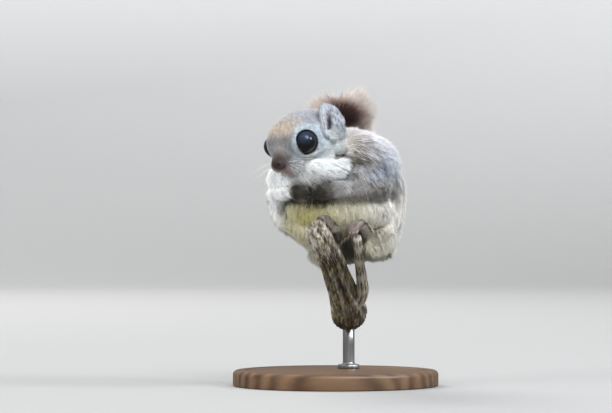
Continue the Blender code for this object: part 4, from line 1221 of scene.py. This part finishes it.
eye_material, tree, shader = plain_material(
    "eye", (0.003, 0.003, 0.003), 0.25, Coat_Weight=0.5, Coat_Roughness=0.03, Specular_IOR_Level=0.05)
# The iris attribute holds the iris and the painted reflection of the sky.
wire(shader, Base_Color=painted(tree, "iris"))
for word, (middle, aim) in EYES.items():
    points, faces = eyeball(middle, aim)
    eye = piece(f"eye_{word}_wet", points, faces, eye_material)
    iris = smooth_step(0.55, 0.72, (unit(points - middle) @ aim))
    # A painted reflection: a dim blue glow of the sky, laid into the eye's colour high on its front.
    painted_reflection_at = mirrored((3.0, 4.0, 3.2), SIDES[word])
    sheen = bell((points - middle) @ HEAD_AXES.T, painted_reflection_at, (2.7, 2.7, 2.3), edge=0.95)
    shade = np.array([0.002, 0.002, 0.003]) + iris[:, None] * np.array([0.005, 0.003, 0.002])
    vertex_colours(eye.data, "iris", laid_over(shade, (0.022, 0.042, 0.085), sheen**1.5))
    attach(eye, "root")
    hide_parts(f"eye_{word}")


# The claws: thin, dark and hooked, one at the end of each digit.
def claw(middle, end, radius, length):
    """A tapered hook that goes on from a digit's tip and bends down."""
    way = unit(end - middle)
    bend, tip = end + way * (length * 0.45 + radius * 0.3), end + way * (length * 0.85)
    path = smooth_path([end - way * 0.4, bend, tip + (0, 0, -0.45 * length)], 8)
    size = radius * np.array([0.5, 0.55, 0.52, 0.46, 0.38, 0.28, 0.17, 0.04])
    return rough_tube(path, size, 10, side=(1, 0.2, 0))


claw_material, tree, shader = plain_material("claw", (0.05, 0.035, 0.03), 0.35)
horn = ramp(tree, noise(tree, 800.0), [(0.3, (0.030, 0.022, 0.018)), (0.7, (0.12, 0.09, 0.075))])
wire(shader, Base_Color=horn)
points, faces = merged([claw(*digit) for digit in digits])
claws = piece("claws", points, faces, claw_material)
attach(claws, "root")


# The coat: tufts of fur, each a thin three-sided blade that rises from the skin, bends over and
# lies along the body. They part and close in locks as fur does, paler at the tip.
skin_uv = np.zeros(len(skin.data.loops) * 2, np.float32)
skin.data.uv_layers["OFBake"].data.foreach_get("uv", skin_uv)
skin_uv = skin_uv.reshape(-1, 4, 2)
skin_normal = np.zeros(len(skin_points) * 3, np.float32)
skin.data.vertex_normals.foreach_get("vector", skin_normal)
skin_normal = skin_normal.reshape(-1, 3)


def roots_on_skin(density, seed):
    """Random places on the skin, as many to the square millimetre as density says at each face,
    with their normals and their places on the baked picture."""
    dice = np.random.default_rng(seed)
    corner = np.vstack([skin_quads[:, [0, 1, 2]], skin_quads[:, [0, 2, 3]]])
    uv = np.concatenate([skin_uv[:, [0, 1, 2]], skin_uv[:, [0, 2, 3]]])
    a, b, c = (skin_points[corner[:, k]] for k in range(3))
    area = np.linalg.norm(np.cross(b - a, c - a), axis=1) / 2
    expected = area * np.concatenate([density, density])
    count = int(expected.sum())
    chosen = np.searchsorted(np.cumsum(expected), dice.uniform(0, expected.sum(), count))
    chosen = np.minimum(chosen, len(corner) - 1)
    r, s = np.sqrt(dice.uniform(size=count)), dice.uniform(size=count)
    weight = np.stack([1 - r, r * (1 - s), r * s], 1)[..., None]
    place = (skin_points[corner[chosen]] * weight).sum(1)
    normal = unit((skin_normal[corner[chosen]] * weight).sum(1))
    return {"root": place, "normal": normal, "uv": (uv[chosen] * weight).sum(1)}


# A blade has five points, its root, three round its widest place and its tip, and six faces.
BLADE_FACES = np.array([[0, 2, 1], [0, 3, 2], [0, 1, 3], [1, 2, 4], [2, 3, 4], [3, 1, 4]])
BLADE_UV = 0.003 * (np.array([[0.5, 0], [0.2, 0.45], [0.8, 0.45], [0.5, 0.5], [0.5, 1]]) - 0.5)


def tufts(name, hair, material, slot, depth=0.4, smooth=True):
    """Blades, a row of each of hair's arrays for each: from the root up to their widest at the
    angle lift to the skin, then on to the tip at lift less droop. Smooth ones are lit as the skin
    under them."""
    root, normal, lie, stray = (hair[word] for word in ("root", "normal", "lie", "stray"))
    length, width, lift = hair["length"][:, None], hair["width"][:, None], hair["lift"]
    middle = root + spoke(lift, lie, normal) * length * 0.42 + stray * 0.3
    tip = middle + spoke(lift - hair["droop"], lie, normal) * length * 0.58 + stray * 0.7
    side = unit(np.cross(lie, normal))
    over = unit(np.cross(side, lie))
    over = np.where((over * normal).sum(1, keepdims=True) < 0, -over, over)
    ring = [side * 0.5, -side * 0.5, over * 0.4]
    points = np.stack([root - normal * depth] + [middle + r * width for r in ring] + [tip], 1)
    faces = repeated(BLADE_FACES, len(root))
    obj = piece(name, points.reshape(-1, 3), faces, material)
    shade = np.stack([hair["base_colour"]] + [hair["colour"]] * 3 + [hair["tip_colour"]], 1)
    vertex_colours(obj.data, "coat", shade.reshape(-1, 3))
    if smooth:
        soft = [normal] + [unit(normal + 0.35 * r) for r in ring] + [unit(normal + 0.25 * lie)]
        obj.data.normals_split_custom_set_from_vertices(np.stack(soft, 1).reshape(-1, 3))
    place = (hair["uv"][:, None] + BLADE_UV).reshape(-1, 2)[faces.ravel()]
    layer = obj.data.uv_layers.new(name="OFBake")
    layer.data.foreach_set("uv", place.astype(np.float32).ravel())
    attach(obj, "root")


MOST_TUFTS = 32000


def tufts_in_pieces(title, hair, order, *settings, **more):
    """Tufts in the given order, shared among pieces of at most MOST_TUFTS."""
    pieces = max(1, math.ceil(len(order) / MOST_TUFTS))
    for i, some in enumerate(np.array_split(order, pieces)):
        tufts(f"{title}_{i + 1}", {word: rows[some] for word, rows in hair.items()}, *settings, **more)


def fur_material(name, roughness, sheen):
    """Fur takes its colour from the tufts, with a fine streak along each."""
    made, tree, shader = plain_material(
        name, (0.4, 0.4, 0.4), roughness, Sheen_Weight=sheen, Sheen_Roughness=0.45, Specular_IOR_Level=0.25)
    streak = ramp(tree, noise(tree, 1100.0), [(0.3, 0.82), (0.7, 1.12)])
    wire(shader, Base_Color=mixed(tree, painted(tree, "coat"), streak, 1.0))
    return made


FUR = fur_material("fur", 0.78, 0.25)


def toward(points, way, normal):
    """A direction laid flat on the skin."""
    way = np.broadcast_to(way, points.shape)
    return unit(way - normal * (way * normal).sum(1, keepdims=True))


NECK_BASE = np.array([-9.0, -16.0, 118.0])


def nearest_on(path, ways, points):
    """The direction at the place on a path that is nearest to each point."""
    gap = ((points[:, None] - path[None]) ** 2).sum(-1)
    return ways[gap.argmin(1)]


def lie_of(points, normal, shares):
    """The way the coat lies: back from the nose, away from the neck, down the flanks and along
    the limbs, blended by the parts' shares."""
    ways = np.zeros((len(PARTS), len(points), 3))
    x, _, z = points.T
    body = np.stack([0.10 * (x - 3) / 30, 0.95 * np.clip((z - 90) / 28, -0.1, 1), -0.85 + 0 * x], 1)
    spread = points - NECK_BASE
    near = np.exp(-np.linalg.norm(spread, axis=1) / 16)[:, None]
    ways[:] = unit(body + 2.6 * near * unit(spread))
    from_nose = unit(points - from_head(NOSE + (1.5, 0, 1.0)))
    for eye_middle, _ in EYES.values():
        apart = points - eye_middle
        close = np.exp(-np.maximum(np.linalg.norm(apart, axis=1) - 6.5, 0) / 2.2)[:, None]
        from_nose = from_nose + 0.5 * close * unit(apart)
    laid = {
        "head": from_nose,
        "neck": unit(points - from_head((14, -4, -8))) + (0.15, 0.0, -0.25),
        "belly": np.stack([0.35 * x / 30, -0.05 + 0 * x, -1 + 0 * x], 1),
        "membrane_left": (0.45, -0.1, -0.9),
        "membrane_right": (-0.45, -0.1, -0.9),
        "thigh_left": (0.1, -0.25, -1.0),
        "thigh_right": (0.1, -0.25, -1.0),
        "tail": nearest_on(tail_path[::4], tail_along[::4], points),
    }
    for name, path in ARM_PATHS.items():
        laid[name] = nearest_on(path[::2], unit(np.gradient(path, axis=0))[::2], points) + (0, 0, -0.25)
    for word, side in SIDES.items():
        instep, _, tips, _ = FEET[word]
        laid[f"foot_{word}"] = np.array(tips) - np.array(instep[0])
        laid[f"hand_{word}"] = np.array(HANDS[word][1])
        laid[f"ear_{word}"] = np.array(EAR_RISE[side]) @ HEAD_AXES
    for name, way in laid.items():
        ways[PARTS.index(name)] = unit(np.broadcast_to(way, points.shape))
    return toward(points, np.einsum("np,pnk->nk", shares, ways), normal)


# How the coat differs from part to part: length, width, lift in degrees, and tufts to the square
# millimetre.
COAT = {
    "head": (2.7, 0.24, 18, 20.0), "ear": (2.3, 0.19, 28, 16.0), "neck": (5.4, 0.30, 22, 13.5),
    "torso": (7.0, 0.34, 21, 8.3), "belly": (5.6, 0.30, 19, 12.0), "membrane": (4.6, 0.30, 18, 12.0),
    "thigh": (5.4, 0.30, 20, 11.5), "arm_left": (5.8, 0.30, 20, 12.5), "arm_right": (5.0, 0.30, 20, 11.5),
    "hand": (2.0, 0.17, 18, 20.0), "foot_left": (1.9, 0.17, 18, 16.0), "foot_right": (2.6, 0.20, 20, 18.0),
    "tail": (6.5, 0.32, 24, 10.0),
}
coat_table = np.array([COAT.get(name) or COAT[name.split("_")[0]] for name in PARTS])
quad_part = skin_part[skin_quads[:, 0]]
quad_middle = skin_points[skin_quads].mean(1)
density = (skin_shares @ coat_table)[skin_quads[:, 0], 3] * 1.0
# None grows on the nose and the eyes, and little round the claws.
on_nose = bell(to_head(quad_middle), (NOSE[0] + 0.6, 0, NOSE[2]), (3.0, 3.3, 2.7), edge=0.15)
eye_gap = np.min([np.linalg.norm(quad_middle - middle, axis=1) for middle, _ in EYES.values()], 0)
density = density * (1 - on_nose) * (eye_gap > 6.9)
# The tail's own short fur covers its root only; further on the brush takes over.
on_tail = quad_part == PARTS.index("tail")
density = density * np.where(on_tail, smooth_step(94, 80, quad_middle[:, 2]), 1)
tips_of_digits = np.array([end for _, end, _, _ in digits])
tip_gap = np.sqrt(((quad_middle[:, None] - tips_of_digits[None]) ** 2).sum(-1).min(1))
thinned = 0.15 + 0.85 * smooth_step(1.5, 5.5, tip_gap)
density = density * np.where(bare[skin_quads[:, 0]], thinned, 1)

hair = roots_on_skin(density, 41)
root, normal = hair["root"], hair["normal"]
shares = shares_of(root)
part = shares.argmax(1)
dice = np.random.default_rng(43)
length, width, lift = (shares @ coat_table[:, :3]).T
lift = np.radians(lift)
# The face's fur is shortest on the muzzle and longest on the back of the cheeks.
forward = to_head(root)[:, 0]
on_head = part == PARTS.index("head")
length = np.where(on_head, np.interp(forward, [-16, -6, 6, 14, 20], [4.6, 3.4, 2.2, 1.3, 0.9]), length)
width = np.where(on_head, np.interp(forward, [-10, 8, 18], [0.30, 0.22, 0.17]), width)
length = length * dice.uniform(0.72, 1.18, len(root))
lift = lift + dice.normal(0, 0.07, len(root))
droop = lift * 0.9 + dice.normal(0.03, 0.07, len(root))
# Neighbours lean together into locks, and none leans into the skin.
seeds = (51, 52, 53)
clump = np.stack([waves(root, (2.4, 6.0), seed) + 0.5 * waves(root, (1.0, 2.2), seed + 5) for seed in seeds], 1)
stray = clump * 0.36 * (length / 6.0)[:, None] + dice.normal(0, 0.07, (len(root), 3)) * length[:, None]
stray = stray - normal * np.minimum((stray * normal).sum(1, keepdims=True), 0) * 0.8
tone = np.clip(1 + 0.10 * waves(root, (1.2, 3.0), 61) + dice.normal(0, 0.09, len(root)), 0.55, 1.5)
colour = markings_and_painted_shade(root, shares) * tone[:, None]
hair.update(
    lie=lie_of(root, normal, shares), length=length, width=width, lift=lift, droop=droop, stray=stray,
    base_colour=colour * 0.95, colour=colour, tip_colour=np.clip(colour * 1.10 + 0.01, 0, 0.95))

GROUPS = {
    "coat_head": (("head", "ear"), "grey_brown_coat"),
    "coat_neck": (("neck",), "cream_coat"),
    "coat_body": (("torso", "tail"), "grey_brown_coat"),
    "coat_belly": (("belly", "membrane", "thigh"), "cream_coat"),
    "coat_limbs": (("arm", "hand", "foot"), "grey_brown_coat"),
}
for title, (starts, slot) in GROUPS.items():
    mine = np.flatnonzero(np.isin(part, [i for i, name in enumerate(PARTS) if name.startswith(starts)]))
    tufts_in_pieces(title, hair, mine[np.argsort(root[mine, 0], kind="stable")], FUR, slot)

# Long guard hairs: they stream over the shoulder from the crease behind the cheek, and hang as a
# fringe from under the puff of the ruff, dark for most of their length.
shoulder = bell(quad_middle, (9, -24, 111), (13, 20, 12), edge=0.5)
under_ruff = bell(quad_middle, (1.0, -36, 103.5), (11, 12, 3.0), edge=0.4)
guard_at = shoulder * np.isin(quad_part, [PARTS.index("arm_left"), PARTS.index("torso")])
guard_at = guard_at + 1.6 * under_ruff * (quad_part == PARTS.index("neck"))
hair = roots_on_skin(guard_at * (1.6), 101)
root, normal = hair["root"], hair["normal"]
count = len(root)
dice = np.random.default_rng(103)
shares = shares_of(root)
fringe = shares[:, PARTS.index("neck")] > 0.5
hang = np.where(fringe[:, None], (0.25, -0.3, -1.0), SHOULDER_STREAM)
tone = dice.uniform(0, 1, count)[:, None]
colour = np.array((0.05, 0.04, 0.032)) + tone**3 * np.array((0.5, 0.48, 0.44))
hair.update(
    lie=toward(root, unit(0.4 * lie_of(root, normal, shares) + hang), normal),
    length=np.where(fringe, 6.5, 9.5) * dice.uniform(0.75, 1.15, count), width=np.full(count, 0.20),
    lift=np.radians(dice.normal(27, 5, count)), droop=np.radians(dice.normal(24, 6, count)),
    stray=dice.normal(0, 0.5, (count, 3)), base_colour=colour * 0.95, colour=colour, tip_colour=colour * 0.8)
tufts("coat_guard", hair, FUR, "grey_brown_coat")

# The tail's brush: long soft hair, parted down both sides of the core, sweeping outwards and up,
# grey buff with darker roots. Round the last bone it fans out on every side.
count = 36000
dice = np.random.default_rng(71)
# Each hair stands at a share of the way along the tail and at an angle round it.
at = dice.beta(1.15, 0.95, count) * 0.95 + 0.05
tip_hair = dice.uniform(size=count) < 0.46
at[tip_hair] = dice.uniform(0.94, 1.0, tip_hair.sum())
angle = dice.uniform(0, 2 * math.pi, count)


def along_tail(rows, share):
    """The tail's rows of points or directions, read at shares of its length."""
    return np.stack([np.interp(share, tail_share, rows[:, k]) for k in range(3)], 1)


place, right, out = along_tail(tail_path, at), unit(along_tail(tail_across, at)), unit(along_tail(tail_out, at))
# Before the bend at its root the hair points the way the tail goes further on.
forward = unit(along_tail(tail_along, at + 0.13 * np.clip((0.5 - at) / 0.3, 0, 1)))
sideways, outward = np.cos(angle), np.sin(angle)
half_across, half_through = np.interp(at, tail_share, core_across), np.interp(at, tail_share, core_through)
root = place + right * (sideways * half_across)[:, None] * 0.9 + out * (outward * half_through)[:, None] * 0.9
normal = unit(right * (sideways / half_across)[:, None] + out * (outward / half_through)[:, None])

# Along the tail the hair leans 15 to 60 degrees from the bone, mostly to the sides; at its end it
# opens into a round fan.
reach = TAIL_HALF_WIDTH * np.interp(at, [0, 0.12, 0.24, 0.5, 1], [0.26, 0.32, 0.62, 1, 1])
lean = np.interp(at, [0.05, 0.2, 0.5, 0.9, 1.0], [0.25, 0.45, 0.62, 0.9, 1.05])
lean = lean + dice.normal(0, 0.09, count)
swing = np.sign(sideways) * np.abs(sideways) ** 0.7
flat = np.abs(swing)
way = right * (swing * np.sin(lean))[:, None] + forward * np.cos(lean)[:, None]
way = unit(way + out * (outward * 0.22)[:, None])
length = (reach - half_across * flat) / np.maximum(np.sin(lean), 0.45) * (0.55 + 0.5 * flat)
fan = dice.uniform(0, 1, count) ** 0.6 * 1.85
aside = right * (sideways * 1.5)[:, None] + out * (outward * 0.6)[:, None]
fan_way = unit(spoke(fan, forward, aside))
way = np.where(tip_hair[:, None], fan_way, way)
length = np.where(tip_hair, 8.6 + 8.6 * np.abs(sideways) * np.sin(fan), length)
length = np.maximum(length, 4.0) * dice.uniform(0.74, 1.0, count)
clump = np.stack([waves(root + way * 6, (2.5, 6.0), seed) for seed in (81, 82, 83)], 1)
stray = clump * 0.30 + dice.normal(0, 0.045, (count, 3)) * length[:, None] + forward * (0.10 * length)[:, None]
tone = np.clip(1 + 0.10 * waves(root, (2.0, 5.0), 84) + dice.normal(0, 0.10, count), 0.6, 1.4)[:, None]


def tail_colour(points):
    """Grey buff along the tail, pinkish buff round its end, and in that a heart-shaped spot of
    red-brown, darkest in its middle, which stands above and right of (5.5, 138) in XZ. The red-brown
    is partly the brown hair of the tail's middle and partly painted shade, and its near-black middle
    is painted shade deep in the fan."""
    x, z = points[:, 0], points[:, 2]
    away = np.hypot((x - 5.5 - 0.4 * (138 - z)) / 1.4, z - 138.0)
    end = smooth_step(116, 128, z)
    return painted_over(
        np.tile((0.40, 0.335, 0.28), (len(points), 1)),
        ((0.51, 0.455, 0.42), end),
        ((0.20, 0.105, 0.070), 0.9 * end * smooth_step(12.0, 6.5, away)),
        ((0.020, 0.006, 0.004), end * smooth_step(8.8, 4.8, away)),
    )


hair = {
    "root": root, "normal": unit(np.cross(np.cross(way, normal + 1e-3), way)), "lie": way, "length": length,
    "width": np.full(count, 0.34), "lift": np.full(count, 0.10), "droop": np.full(count, 0.20), "stray": stray,
    "base_colour": tail_colour(root) * tone * 0.7,
    "colour": tail_colour(root + way * (0.42 * length)[:, None]) * tone,
    "tip_colour": np.clip(tail_colour(root + way * length[:, None]) * tone * 1.15, 0, 0.9),
    "uv": np.full((count, 2), (0.985, 0.5)),
}
tail_fur = fur_material("tail_fur", 0.7, 0.3)
tufts_in_pieces("coat_tail", hair, np.arange(count), tail_fur, "buff_tail", depth=0.2, smooth=False)


# The whiskers: long, stiff, tapered hairs in four rows on each side of the muzzle.
def whisker(root, way, length, sag, thick):
    """A hair of round section that tapers to a point and sags by the square of the way along it."""
    t = np.linspace(0, 1, 12)[:, None]
    path = root + way * length * t + np.array([0, 0, -sag]) * t**2
    return rough_tube(path, thick * (1 - 0.85 * t[:, 0]), 5, side=(0.3, 0.2, 1.0))


dice = np.random.default_rng(91)
hairs = []
for side in (1, -1):
    for row, count in enumerate((4, 5, 5, 3)):
        for i in range(count):
            start = from_head(mirrored((18.5 - 1.7 * i, 4.6 + 0.65 * i, -4.4 - 1.2 * row), side))
            back, rise = 0.30 - 0.20 * i + dice.normal(0, 0.05), 0.02 - 0.26 * row + dice.normal(0, 0.06)
            way = unit(mirrored((back, 0.9, rise), side) @ HEAD_AXES)
            hairs.append(whisker(start, way, 13 + 2.6 * i + dice.uniform(-1, 2), dice.uniform(1.0, 4.0), 0.085))
whisker_material, tree, shader = plain_material("whisker", (0.6, 0.58, 0.55), 0.4)
banded = ramp(tree, noise(tree, 120.0), [(0.35, (0.25, 0.23, 0.21)), (0.55, (0.75, 0.73, 0.70))])
wire(shader, Base_Color=banded)
points, faces = merged(hairs)
whiskers = piece("whiskers", points, faces, whisker_material)
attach(whiskers, "root")
